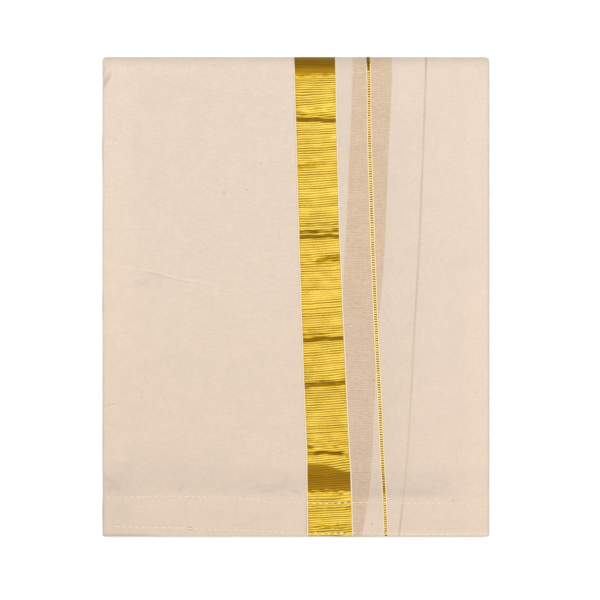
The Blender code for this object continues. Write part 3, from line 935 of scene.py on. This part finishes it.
def dot(centre, radius, rise, stretch=1.0, turn_by=0.0):
    """A low round spot, for a needle hole or a speck of seed husk."""
    rings, around = 3, 8
    out = np.array([1.0, 0.7, 0.05])[:, None]
    up = np.array([-0.2, 0.6, 1.0])[:, None]
    angle = np.linspace(0.0, 2.0 * np.pi, around + 1)[None, :-1]
    local_x, local_y = radius * stretch * out * np.cos(angle), radius * out * np.sin(angle)
    x = local_x * np.cos(turn_by) - local_y * np.sin(turn_by)
    y = local_x * np.sin(turn_by) + local_y * np.cos(turn_by)
    points = np.stack([centre[0] + x, centre[1] + y, centre[2] + rise * up * np.ones_like(x)], axis=-1)
    return points.reshape(-1, 3), tube_faces(rings, around)


HOLE_SHARE = 0.4


def needle_holes(shade):
    """A small shadowed hole in some of the gaps between two stitches."""
    rng = np.random.default_rng(37)
    holes = []
    spans = stitch_spans()
    for (row, _, finish, _, _), (next_row, begin, _, _, _) in zip(spans, spans[1:]):
        if row is next_row:
            x = (begin + finish) / 2 + rng.uniform(-0.15, 0.15)
            centre = sewn_point(row, x, rng.uniform(-0.15, 0.15))
            share = share_across(centre[0], centre[1], BAND_LEFT, BAND_RIGHT)
            if not -0.03 < share < 1.03 and rng.uniform() < HOLE_SHARE:
                holes.append(dot(centre, rng.uniform(0.16, 0.26), 0.02))
    return solid_from("needle_holes", holes, shade)


# The largest specks of seed husk left in the cotton: across, along, and radius
Speck = namedtuple("Speck", "x y radius")
LARGE_SPECKS = (
    Speck(-23, 87, 0.33),
    Speck(-32, 70, 0.31),
    Speck(-49, 1, 0.30),
    Speck(-101, -66, 0.34),
    Speck(-99, -53, 0.27),
    Speck(-6, -91, 0.27),
    Speck(96, 37, 0.31),
    Speck(118, -63, 0.30),
    Speck(54, 122, 0.30),
    Speck(39, -134, 0.35),
    Speck(50, -149, 0.42),
    Speck(103, -134, 0.45),
)
SMALL_SPECKS = 34


def scattered_specks(rng):
    """Small specks spread at random over the panel and the flap, clear of the gold."""
    specks = []
    while len(specks) < SMALL_SPECKS:
        x, y = rng.uniform(LEFT + 4.0, RIGHT - 4.0), rng.uniform(FRONT + 3.0, BACK - 4.0)
        if x < across(BAND_LEFT, y) - 3.0 or x > across(LINE_RIGHT, y) + 3.0:
            specks.append(Speck(x, y, rng.uniform(0.17, 0.27)))
    return specks


def husk_specks(husk):
    """Specks of seed husk, large and small, each a low spot stretched a little its own way."""
    rng = np.random.default_rng(43)
    spots = []
    for speck in (*LARGE_SPECKS, *scattered_specks(rng)):
        z = float(top_of(np.array(speck.x), np.array(speck.y - FRONT)))
        centre = (speck.x, speck.y, z)
        spots.append(dot(centre, speck.radius, 0.05, rng.uniform(1.0, 1.4), rng.uniform(0.0, 3.0)))
    return solid_from("husk_specks", spots, husk)


# Shader nodes

def new_group(name, inputs, outputs):
    """A shader node group with (name, default) inputs and named outputs, all of them numbers."""
    group = bpy.data.node_groups.new(name, "ShaderNodeTree")
    for label, value in inputs:
        socket = group.interface.new_socket(name=label, in_out="INPUT", socket_type="NodeSocketFloat")
        socket.default_value = value
    for label in outputs:
        group.interface.new_socket(name=label, in_out="OUTPUT", socket_type="NodeSocketFloat")
    return group, group.nodes.new("NodeGroupInput"), group.nodes.new("NodeGroupOutput")


def node(tree, kind, **settings):
    """A new node with its settings."""
    made = tree.nodes.new(kind)
    for key, value in settings.items():
        setattr(made, key, value)
    return made


def math(tree, operation, first, second=None, clamp=False):
    """A Math node's output, with numbers or sockets as its inputs."""
    made = node(tree, "ShaderNodeMath", operation=operation, use_clamp=clamp)
    for socket, value in zip(made.inputs, (first, second)):
        if isinstance(value, (int, float)):
            socket.default_value = value
        elif value is not None:
            tree.links.new(value, socket)
    return made.outputs[0]


def plus(tree, first, second, clamp=False):
    """The sum of two numbers or sockets."""
    return math(tree, "ADD", first, second, clamp)


def minus(tree, first, second, clamp=False):
    """The first number or socket less the second."""
    return math(tree, "SUBTRACT", first, second, clamp)


def times(tree, first, second, clamp=False):
    """The product of two numbers or sockets."""
    return math(tree, "MULTIPLY", first, second, clamp)


def wave(tree, distance, pitch):
    """A sine that repeats every pitch."""
    return math(tree, "SINE", times(tree, distance, 2.0 * np.pi / pitch))


def marked(tree, name):
    """A value that the piece's points carry."""
    return node(tree, "ShaderNodeAttribute", attribute_name=name).outputs["Fac"]


def on_upper_side(tree, z):
    """1 on the packet's upper side, and 0 underneath."""
    return soft_step(tree, z, MIDDLE - 1.0, MIDDLE + 1.0)


def places(tree):
    """The object's own coordinates in millimetres, together and as X, Y and Z."""
    coordinates = node(tree, "ShaderNodeTexCoord")
    in_millimetres = node(tree, "ShaderNodeVectorMath", operation="SCALE")
    in_millimetres.inputs["Scale"].default_value = 1.0 / MILLIMETRE
    tree.links.new(coordinates.outputs["Object"], in_millimetres.inputs[0])
    parts = node(tree, "ShaderNodeSeparateXYZ")
    tree.links.new(in_millimetres.outputs[0], parts.inputs[0])
    return in_millimetres.outputs[0], parts.outputs


def streaks(tree, place, scale, detail=2.0, rough=0.5):
    """Noise stretched along one way of the cloth. scale is swells per millimetre each way."""
    stretched = node(tree, "ShaderNodeVectorMath", operation="MULTIPLY")
    stretched.inputs[1].default_value = scale
    tree.links.new(place, stretched.inputs[0])
    noise = node(tree, "ShaderNodeTexNoise")
    noise.inputs["Scale"].default_value = 1.0
    noise.inputs["Detail"].default_value = detail
    noise.inputs["Roughness"].default_value = rough
    tree.links.new(stretched.outputs[0], noise.inputs["Vector"])
    return noise.outputs[0]


def use_group(tree, group, **values):
    """A node group put to use, with values for its inputs."""
    made = node(tree, "ShaderNodeGroup", node_tree=group)
    for label, value in values.items():
        made.inputs[label.replace("_", " ")].default_value = value
    return made


def mix(tree, factor, first, second, blend="MIX", clamped=True):
    """A Mix node's colour, with colours or sockets as its inputs."""
    made = node(tree, "ShaderNodeMix", data_type="RGBA", blend_type=blend, clamp_factor=clamped)
    for socket, value in zip((made.inputs[0], made.inputs[6], made.inputs[7]), (factor, first, second)):
        if isinstance(value, (int, float)):
            socket.default_value = value
        elif isinstance(value, tuple):
            socket.default_value = (*value, 1.0)
        else:
            tree.links.new(value, socket)
    return made.outputs[2]


def value_along(tree, y, stops):
    """A value between 20 and 100 at a distance along: (along, value) stops joined smoothly."""
    least, span = 20.0, 80.0
    curve = node(tree, "ShaderNodeFloatCurve")
    points = curve.mapping.curves[0].points
    low, high = stops[0][0], stops[-1][0]
    for index, (along, value) in enumerate(stops):
        spot = ((along - low) / (high - low), (value - least) / span)
        if index in (0, len(stops) - 1):
            points[0 if index == 0 else -1].location = spot
        else:
            points.new(*spot)
    curve.mapping.update()
    share = math(tree, "DIVIDE", minus(tree, y, low), high - low)
    tree.links.new(share, curve.inputs["Value"])
    return plus(tree, times(tree, curve.outputs[0], span), least)


def soft_step(tree, value, start, end):
    """0 at start, 1 at end, and soft between."""
    made = node(tree, "ShaderNodeMapRange", interpolation_type="SMOOTHSTEP")
    made.inputs["From Min"].default_value = start
    made.inputs["From Max"].default_value = end
    tree.links.new(value, made.inputs["Value"])
    return made.outputs[0]


# Node groups: the weave, what shows through the flap, and the panel's finest marks

YARN_PITCH = 0.62
RIPPLE_PITCH = 3.8


def handloom_weave():
    """Plain weave with uneven yarns: a height for bump and a tone, both about a half when even."""
    inputs = (("Yarn Pitch", YARN_PITCH), ("Slub", 1.0))
    tree, given, result = new_group("handloom_weave", inputs, ("Height", "Tone", "Towards Hem"))
    place, (x, y, _) = places(tree)
    # 0 at the far end and 1 at the hem, for the tint that darkens and warms the cloth towards the hem
    towards_hem = node(tree, "ShaderNodeMapRange")
    towards_hem.inputs["From Min"].default_value = BACK
    towards_hem.inputs["From Max"].default_value = FRONT
    tree.links.new(y, towards_hem.inputs["Value"])
    tree.links.new(towards_hem.outputs[0], result.inputs["Towards Hem"])
    turns = math(tree, "DIVIDE", 2.0 * np.pi, given.outputs["Yarn Pitch"])
    warp = math(tree, "SINE", times(tree, x, turns))
    weft = math(tree, "SINE", times(tree, y, turns))
    checker = times(tree, warp, weft)
    weft_slub = minus(tree, streaks(tree, place, (0.34, 1.3, 1.3), 3.0, 0.6), 0.5)
    warp_slub = minus(tree, streaks(tree, place, (0.9, 0.12, 0.12)), 0.5)
    blotch = streaks(tree, place, (0.07, 0.09, 0.09), 3.0)
    sway = times(tree, streaks(tree, place, (0.05, 0.05, 0.05)), 22.0)
    ripple = wave(tree, plus(tree, y, sway), RIPPLE_PITCH)
    slubs = plus(tree, times(tree, weft_slub, 1.1), times(tree, warp_slub, 0.36))
    slubs = times(tree, slubs, given.outputs["Slub"])
    even = plus(tree, times(tree, checker, 0.12), 0.5)
    height_out = plus(tree, even, times(tree, slubs, 0.9))
    tone = plus(tree, times(tree, slubs, 2.4), times(tree, blotch, 0.8))
    tone = plus(tree, tone, times(tree, ripple, 0.05))
    tone = plus(tree, tone, 0.1)
    tree.links.new(height_out, result.inputs["Height"])
    tree.links.new(tone, result.inputs["Tone"])
    return tree


# The second ply's border and line, seen through the flap: along from the middle, and across
SEEN_BORDER_LEFT = ((-157.5, 20.5), (-110, 24.0), (-60, 27.0), (-20, 29.7), (21, 31.8), (60, 33.7),
                    (100, 35.5), (136, 36.9), (157.5, 37.5))
SEEN_BORDER_RIGHT = ((-157.5, 43.4), (-133, 47.6), (-120, 49.0), (-103, 50.2), (-75, 51.3), (-22, 53.9),
                     (21, 57.7), (60, 59.6), (100, 61.1), (136, 62.8), (157.5, 63.1))
SEEN_LINE = ((-157.5, 67.6), (-120, 71.8), (-68, 75.4), (-20, 77.8), (21, 80.3), (70, 82.4), (115, 84.2),
             (157.5, 85.6))

# How strongly that line shows, in hundredths
SEEN_LINE_STRENGTH = ((-157.5, 78), (-137, 76), (-131, 36), (-107, 38), (-68, 48), (-22, 58), (24, 67),
                      (65, 72), (130, 75), (145, 86), (157.5, 98))
UPRIGHT_PITCH = 1.35


def seen_border(tree, x, y):
    """The second ply's border, soft at both sides."""
    from_left = minus(tree, x, value_along(tree, y, SEEN_BORDER_LEFT))
    from_right = minus(tree, value_along(tree, y, SEEN_BORDER_RIGHT), x)
    return times(tree, soft_step(tree, from_left, -0.7, 0.7), soft_step(tree, from_right, -0.6, 0.6))


def seen_line(tree, place, y, past_line):
    """The second ply's line, broken into faint rungs and patches."""
    line = minus(tree, 1.0, soft_step(tree, math(tree, "ABSOLUTE", past_line), 0.30, 1.10))
    patchy = streaks(tree, place, (0.5, 0.06, 0.06))
    patchy = plus(tree, times(tree, patchy, 0.9), 0.35)
    ladder = plus(tree, times(tree, wave(tree, y, RIB_PITCH), 0.30), patchy)
    strength = times(tree, value_along(tree, y, SEEN_LINE_STRENGTH), 0.01)
    return times(tree, line, times(tree, ladder, strength), clamp=True)


def seen_field(tree, y, past_line):
    """The whiter field from the line on, which begins sooner towards the far end and at the hem."""
    before = plus(tree, times(tree, soft_step(tree, y, -60.0, 20.0), 22.0), 18.0)
    field = math(tree, "DIVIDE", plus(tree, past_line, before), plus(tree, before, 16.0), clamp=True)
    return math(tree, "MAXIMUM", field, soft_step(tree, y, FRONT + HEM, FRONT + 8.0))


def seen_ribs(tree, place, x, y):
    """The border's ribs and upright threads, faint and swaying."""
    sway = times(tree, streaks(tree, place, (0.09, 0.12, 0.12)), 2.0)
    ribs = times(tree, wave(tree, plus(tree, y, sway), RIB_PITCH), 0.36)
    upright = times(tree, wave(tree, plus(tree, x, sway), UPRIGHT_PITCH), 0.16)
    return plus(tree, plus(tree, ribs, upright), 0.5)


def show_through():
    """Masks for what the thin flap lets through from below: the second ply's border and its line."""
    tree, _, result = new_group("show_through", (), ("Border", "Line", "Field", "Ribs"))
    place, (x, y, z) = places(tree)
    outside = on_upper_side(tree, z)
    past_line = minus(tree, x, value_along(tree, y, SEEN_LINE))
    line = seen_line(tree, place, y, past_line)
    tree.links.new(times(tree, seen_border(tree, x, y), outside), result.inputs["Border"])
    tree.links.new(times(tree, line, outside), result.inputs["Line"])
    tree.links.new(seen_field(tree, y, past_line), result.inputs["Field"])
    tree.links.new(seen_ribs(tree, place, x, y), result.inputs["Ribs"])
    return tree


# Creases too fine for the panel's mesh, as painted shade and painted highlight, from one end to the other:
# half width, and how much they grey, below nothing for a painted highlight
FineCrease = namedtuple("FineCrease", "x0 y0 x1 y1 width grey")
FINE_CREASES = (
    FineCrease(-136, 23.5, -88, 15.4, 0.9, -0.5),
    FineCrease(-106, 18.7, -58, 8.3, 1.0, -0.8),
    FineCrease(-106, 17.4, -60, 7.4, 1.2, 0.55),
    FineCrease(-72, 11.3, -48, 7.3, 0.9, -0.5),
    FineCrease(-116, 43.3, -90, 43.5, 0.8, 0.5),
    FineCrease(-116, 42.3, -90, 42.5, 0.8, -0.4),
    FineCrease(-48, 1.3, -39, 1.5, 0.8, -0.6),
    FineCrease(-22, -10.0, -17, -17.0, 0.8, -0.6),
    FineCrease(-131, -74.4, -116, -69.8, 1.0, 1.3),
    FineCrease(-131, -75.8, -115, -71.2, 1.1, -0.5),
    FineCrease(-73, -137.7, -66, -131.8, 1.0, -1.1),
    FineCrease(-74, -137.3, -67, -131.4, 0.9, 0.8),
    FineCrease(-40, -76.0, -30, -74.0, 1.8, 0.4),
    FineCrease(-15, -146.2, -8, -140.7, 1.0, 0.6),
)

# Faint round stains on the front panel
Spot = namedtuple("Spot", "x y radius grey")
SPOTS = (
    Spot(-47, 68, 2.2, 1.3),
    Spot(-90, 30, 2.0, 0.6),
    Spot(-86, -68, 2.1, 0.8),
    Spot(-62, -66, 1.8, 0.6),
    Spot(-22, -78, 1.6, 0.6),
    Spot(-69.5, -152.2, 1.9, 3.4),
)


def crease_mark(tree, x, y, crease):
    """A fine crease's painted shade, turned to painted highlight where its grey is below nothing, its line
    slightly bent and fading at both ends.
    """
    run_x, run_y = crease.x1 - crease.x0, crease.y1 - crease.y0
    length = float(np.hypot(run_x, run_y))
    from_x, from_y = minus(tree, x, crease.x0), minus(tree, y, crease.y0)
    along = plus(tree, times(tree, from_x, run_x / length), times(tree, from_y, run_y / length))
    aside = minus(tree, times(tree, from_x, run_y / length), times(tree, from_y, run_x / length))
    bend = times(tree, math(tree, "SINE", times(tree, along, 0.16)), 0.35)
    line = soft_step(tree, math(tree, "ABSOLUTE", plus(tree, aside, bend)), crease.width, 0.0)
    begin, finish = soft_step(tree, along, 0.0, length / 4), soft_step(tree, along, length, 0.75 * length)
    return times(tree, times(tree, line, times(tree, begin, finish)), crease.grey)


def spot_mark(tree, x, y, spot):
    """A stain's grey, faint at its edge."""
    squares = []
    for place, middle in ((x, spot.x), (y, spot.y)):
        distance = math(tree, "ABSOLUTE", minus(tree, place, middle))
        squares.append(math(tree, "POWER", distance, 2.0))
    distance = math(tree, "SQRT", plus(tree, *squares))
    return times(tree, soft_step(tree, distance, spot.radius, 0.3), spot.grey)


def fine_marks():
    """How much the fine creases' painted shade and the stains grey the front panel, less than nothing where
    a crease's painted highlight lightens it.
    """
    tree, _, result = new_group("fine_marks", (), ("Grey",))
    _, (x, y, z) = places(tree)
    marks = [crease_mark(tree, x, y, crease) for crease in FINE_CREASES]
    marks += [spot_mark(tree, x, y, spot) for spot in SPOTS]
    total = marks[0]
    for mark in marks[1:]:
        total = plus(tree, total, mark)
    tree.links.new(times(tree, total, on_upper_side(tree, z)), result.inputs["Grey"])
    return tree


# Materials

def new_material(name, roughness, metallic=0.0, sheen=0.0, specular=0.5):
    """A material whose Principled shader is ready for its colour."""
    made = bpy.data.materials.new(name)
    made.use_nodes = True
    shader = made.node_tree.nodes["Principled BSDF"]
    shader.inputs["Roughness"].default_value = roughness
    shader.inputs["Metallic"].default_value = metallic
    shader.inputs["Sheen Weight"].default_value = sheen
    shader.inputs["Sheen Roughness"].default_value = 0.45
    shader.inputs["Specular IOR Level"].default_value = specular
    return made, made.node_tree, shader


def bump(tree, shader, height_socket, distance, strength):
    """Makes the surface rise and fall with a height, over a distance in millimetres."""
    made = node(tree, "ShaderNodeBump")
    made.inputs["Distance"].default_value = distance * MILLIMETRE
    made.inputs["Strength"].default_value = strength
    tree.links.new(height_socket, made.inputs["Height"])
    tree.links.new(made.outputs["Normal"], shader.inputs["Normal"])


CREAM = (0.588, 0.489, 0.403)
# The same cream made darker: painted shade for the hidden layers, which show only at the packet's edges
SHADED_CREAM = (0.51, 0.415, 0.33)
FLAP_CREAM = (0.563, 0.473, 0.391)
FIELD_CREAM = (0.602, 0.500, 0.416)
# The tint that darkens and warms the cloth towards the hem
TOWARDS_HEM_TINT = (0.948, 0.920, 0.888)
# The bluish grey that painted shade multiplies the cloth's colour by
PAINTED_SHADE_TINT = (0.795, 0.81, 0.84)
BEIGE = (0.511, 0.388, 0.275)
BEIGE_BY_HEM = (0.512, 0.392, 0.291)
TAN = (0.42, 0.31, 0.185)
TONE_SPREAD = 0.045
STRIPE_SPREAD = 0.19


def scaled(colour, factor):
    """A colour made darker or lighter."""
    return tuple(min(1.0, factor * part) for part in colour)


def toned(tree, tone, shade):
    """A colour that the weave's tone makes darker and lighter."""
    return mix(tree, tone, scaled(shade, 1.0 - TONE_SPREAD), scaled(shade, 1.0 + TONE_SPREAD))


def with_painted_shade(tree, woven, colour, marks=None):
    """The colour made darker and warmer towards the hem, greyed by painted shade where the ply is marked
    grey, and by the fine marks where given.
    """
    darkened_to_hem = mix(tree, woven.outputs["Towards Hem"], colour, TOWARDS_HEM_TINT, "MULTIPLY")
    grey = marked(tree, "grey")
    if marks:
        grey = plus(tree, grey, use_group(tree, marks).outputs["Grey"])
    amount = times(tree, grey, 0.5)
    return mix(tree, amount, darkened_to_hem, PAINTED_SHADE_TINT, "MULTIPLY", clamped=False)


def woven_cotton(name, weave):
    """A matt cotton with the weave's bump, its colour still to come."""
    made, tree, shader = new_material(name, 0.82, sheen=0.25, specular=0.25)
    woven = use_group(tree, weave, Yarn_Pitch=YARN_PITCH, Slub=1.0)
    bump(tree, shader, woven.outputs["Height"], 0.05, 0.6)
    return made, tree, shader, woven


def cream_cotton(weave, name="cream_cotton", shade=CREAM, marks=None):
    """Plain handloom cotton, with fine marks where they are given."""
    made, tree, shader, woven = woven_cotton(name, weave)
    colour = with_painted_shade(tree, woven, toned(tree, woven.outputs["Tone"], shade), marks)
    tree.links.new(colour, shader.inputs["Base Color"])
    return made


def flap_cotton(weave, seen):
    """The flap's cotton, with what shows through it."""
    made, tree, shader, woven = woven_cotton("flap_cotton", weave)
    tone = woven.outputs["Tone"]
    below = use_group(tree, seen)
    _, (_, y, _) = places(tree)
    plain = mix(tree, below.outputs["Field"], toned(tree, tone, FLAP_CREAM), toned(tree, tone, FIELD_CREAM))
    threads = mix(tree, 0.5, tone, below.outputs["Ribs"])
    beige = mix(tree, soft_step(tree, y, 60.0, -60.0), BEIGE, BEIGE_BY_HEM)
    uneven = mix(tree, threads, (1.0 - STRIPE_SPREAD,) * 3, (1.0 + STRIPE_SPREAD,) * 3)
    stripe = mix(tree, 1.0, beige, uneven, "MULTIPLY")
    colour = mix(tree, below.outputs["Border"], plain, stripe)
    colour = mix(tree, times(tree, below.outputs["Line"], 0.85), colour, TAN)
    tree.links.new(with_painted_shade(tree, woven, colour), shader.inputs["Base Color"])
    return made


GOLD = (0.338, 0.248, 0.064)
PALE_GOLD = (0.575, 0.445, 0.20)
# Painted shade: the dark gold where the border bends away or is pressed into folds, the same in a rib's
# valley, the deepest folds' cores, and the valleys between ribs
DARK_GOLD = (0.2379, 0.1196, 0.00468)
DARK_VALLEY = (0.083, 0.036, 0.0004)
DEEP_GOLD = (0.138, 0.066, 0.0002)
VALLEY_GOLD = (0.100, 0.052, 0.0012)
GOLD_AT_HEM = (0.925, 0.895, 0.80)
GOLD_GLINT = (0.80, 0.55, 0.12)

# Tints that other gold is multiplied by: the richer one by how much painted shade a place has, the browner
# and olive ones in patches over the painted shade
WHITE = (1.0, 1.0, 1.0)
RICHER = (1.0, 0.97, 0.22)
BROWNER = (1.0, 0.93, 0.8)
OLIVE = (1.0, 1.07, 1.3)


def zari_gold(name="zari_gold"):
    """Metal thread wound on silk: gold, browned by painted shade in the valleys between ribs and the pressed
    folds, and by painted dark reflection where it bends away.
    """
    made, tree, shader = new_material(name, 0.45, metallic=0.9, specular=0.2)
    shader.inputs["Specular Tint"].default_value = (*GOLD_GLINT, 1.0)
    place, (_, y, _) = places(tree)
    painted_shade, valley, pale = marked(tree, "painted_shade"), marked(tree, "valley"), marked(tree, "pale")
    full_painted_shade = math(tree, "MINIMUM", painted_shade, 1.0)
    threads = streaks(tree, place, (0.4, 3.2, 3.2), 3.0, 0.6)
    glitter = streaks(tree, place, (1.6, 2.6, 2.6), 2.0, 0.7)
    colour = mix(tree, valley, GOLD, VALLEY_GOLD)
    shade_share = plus(tree, valley, times(tree, painted_shade, 1.2), clamp=True)
    richer = mix(tree, math(tree, "POWER", shade_share, 0.5), WHITE, RICHER)
    colour = mix(tree, 1.0, colour, richer, "MULTIPLY")
    colour = mix(tree, soft_step(tree, y, BACK, FRONT), colour, GOLD_AT_HEM, "MULTIPLY")
    colour = mix(tree, soft_step(tree, threads, 0.3, 0.75), mix(tree, 0.12, colour, VALLEY_GOLD), colour)
    colour = mix(tree, pale, colour, PALE_GOLD)
    # Painted dark reflection and shade, in browner and olive patches, where the gold is marked with painted
    # shade
    dark = mix(tree, valley, DARK_GOLD, DARK_VALLEY)
    patches = soft_step(tree, streaks(tree, place, (0.10, 0.45, 0.45), 3.0), 0.35, 0.65)
    dark = mix(tree, 1.0, dark, mix(tree, patches, BROWNER, OLIVE), "MULTIPLY")
    colour = mix(tree, full_painted_shade, colour, dark)
    colour = mix(tree, soft_step(tree, painted_shade, 1.0, 1.5), colour, DEEP_GOLD)
    tree.links.new(colour, shader.inputs["Base Color"])
    rough = plus(tree, times(tree, glitter, 0.22), 0.36)
    tree.links.new(rough, shader.inputs["Roughness"])
    dulled = times(tree, full_painted_shade, 0.75)
    dulled = plus(tree, dulled, times(tree, pale, 0.5))
    tree.links.new(minus(tree, 0.97, dulled, clamp=True), shader.inputs["Metallic"])
    bump(tree, shader, threads, 0.05, 0.5)
    return made


Thread = namedtuple("Thread", "name colour roughness")
CREAM_THREAD = Thread("cream_thread", (0.67, 0.565, 0.44), 0.6)
BORDER_THREAD = Thread("border_thread", (0.46, 0.325, 0.145), 0.6)
PUFFED_GOLD = Thread("puffed_gold", (0.64, 0.475, 0.115), 0.4)
LINE_THREAD = Thread("line_thread", (0.74, 0.60, 0.34), 0.5)
SELVAGE_THREAD = Thread("selvage_thread", (0.735, 0.585, 0.385), 0.6)
HOLE_SHADE = Thread("hole_shade", (0.26, 0.17, 0.09), 0.9)
SEED_HUSK = Thread("seed_husk", (0.30, 0.23, 0.17), 0.8)


def fuzzy(thread):
    """A thread's or a small fibre's material, its colour and surface a little uneven."""
    made, tree, shader = new_material(thread.name, thread.roughness, sheen=0.2)
    place, _ = places(tree)
    fuzz = streaks(tree, place, (2.5, 2.5, 2.5), 3.0)
    colour = mix(tree, fuzz, scaled(thread.colour, 0.92), scaled(thread.colour, 1.05))
    tree.links.new(colour, shader.inputs["Base Color"])
    bump(tree, shader, fuzz, 0.04, 0.5)
    return made


# The floor, the light and the camera: lengths in metres, apart from the frame's, in millimetres

FLOOR_SIZE = 6.0
FLOOR_WHITE = 0.96
FILL = 0.42
FILL_COLOUR = (1.0, 0.995, 0.985)
OVERHEAD = 107.0
LIGHT_PLACE = (0.05, 0.10, 3.3)
LIGHT_SIZE = 1.25
CAMERA_HEIGHT = 3.0
FRAME_WIDTH = 393.3
FRAME_CENTRE = (2.8, -2.3)


def stage():
    """A pale plain floor, one soft overhead light, a fill and the camera straight above."""
    bpy.ops.mesh.primitive_plane_add(size=FLOOR_SIZE, location=(0.0, 0.0, 0.0))
    floor = bpy.context.object
    floor.name = "floor"
    pale, _, shader = new_material("pale_floor", 0.9)
    shader.inputs["Base Color"].default_value = (FLOOR_WHITE, FLOOR_WHITE, FLOOR_WHITE, 1.0)
    floor.data.materials.append(pale)
    world = bpy.data.worlds.new("studio")
    world.use_nodes = True
    world.node_tree.nodes["Background"].inputs["Color"].default_value = (*FILL_COLOUR, 1.0)
    world.node_tree.nodes["Background"].inputs["Strength"].default_value = FILL
    bpy.context.scene.world = world
    bpy.context.scene.view_settings.view_transform = "Standard"
    add_light()
    add_camera()


def add_light():
    """A round overhead light that faces the packet."""
    light = bpy.data.lights.new("overhead", "AREA")
    light.shape = "DISK"
    light.size = LIGHT_SIZE
    light.energy = OVERHEAD
    lamp = bpy.data.objects.new("overhead", light)
    lamp.location = LIGHT_PLACE
    lamp.rotation_euler = (-Vector(LIGHT_PLACE)).to_track_quat("-Z", "Y").to_euler()
    bpy.context.scene.collection.objects.link(lamp)


def add_camera():
    """A camera straight above, whose view is as wide as the frame at the packet's top."""
    camera = bpy.data.cameras.new("camera")
    camera.sensor_width = 36.0
    distance = CAMERA_HEIGHT - TOP * MILLIMETRE
    camera.lens = camera.sensor_width * distance / (FRAME_WIDTH * MILLIMETRE)
    camera.clip_end = 20.0
    placed = bpy.data.objects.new("camera", camera)
    placed.location = (FRAME_CENTRE[0] * MILLIMETRE, FRAME_CENTRE[1] * MILLIMETRE, CAMERA_HEIGHT)
    bpy.context.scene.collection.objects.link(placed)
    bpy.context.scene.camera = placed


def main():
    """The materials, the pieces, what each one replaces and belongs to, and the stage."""
    weave = handloom_weave()
    seen = show_through()
    cotton = cream_cotton(weave, marks=fine_marks())
    inner_cotton = cream_cotton(weave, "inner_cotton", SHADED_CREAM)
    top_cotton = flap_cotton(weave, seen)
    zari = zari_gold()
    muted_zari = zari_gold("muted_zari")
    threads = (CREAM_THREAD, BORDER_THREAD, PUFFED_GOLD, LINE_THREAD, SELVAGE_THREAD, HOLE_SHADE, SEED_HUSK)
    thread, border_thread, puffed_gold, line_thread, selvage_thread, hole_shade, husk = map(fuzzy, threads)

    panel = front_cloth(cotton)
    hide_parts("front_panel", "inner_margin")
    flap = flap_cloth(top_cotton)
    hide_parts("flap_panel", "flap_margin")
    band = zari_band(zari)
    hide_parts("zari_band")
    line = zari_line(zari)
    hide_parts("zari_line")
    inner = folded_layers(inner_cotton)
    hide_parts("folded_layers")
    inner_band = inner_strip(
        "inner_zari_band_cloth", INNER_BAND_LEFT, INNER_BAND_RIGHT, SECOND_DEPTH, muted_zari)
    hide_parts("inner_zari_band")
    inner_line = inner_strip(
        "inner_zari_line_cloth", INNER_LINE_LEFT, INNER_LINE_RIGHT, INNER_LINE_DEPTH, muted_zari)
    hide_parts("inner_zari_line")
    cords = [selvage_cord(cord, selvage_thread) for cord in BAND_CORDS]
    cords += [selvage_cord(cord, line_thread) for cord in LINE_CORDS]
    sewn = [hem_stitches(thread), *border_stitches(border_thread, puffed_gold)]
    marks = [needle_holes(hole_shade), husk_specks(husk)]
    for piece in [panel, flap, band, line, inner, inner_band, inner_line, *cords, *sewn, *marks]:
        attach(piece, "root")
    stage()


main()
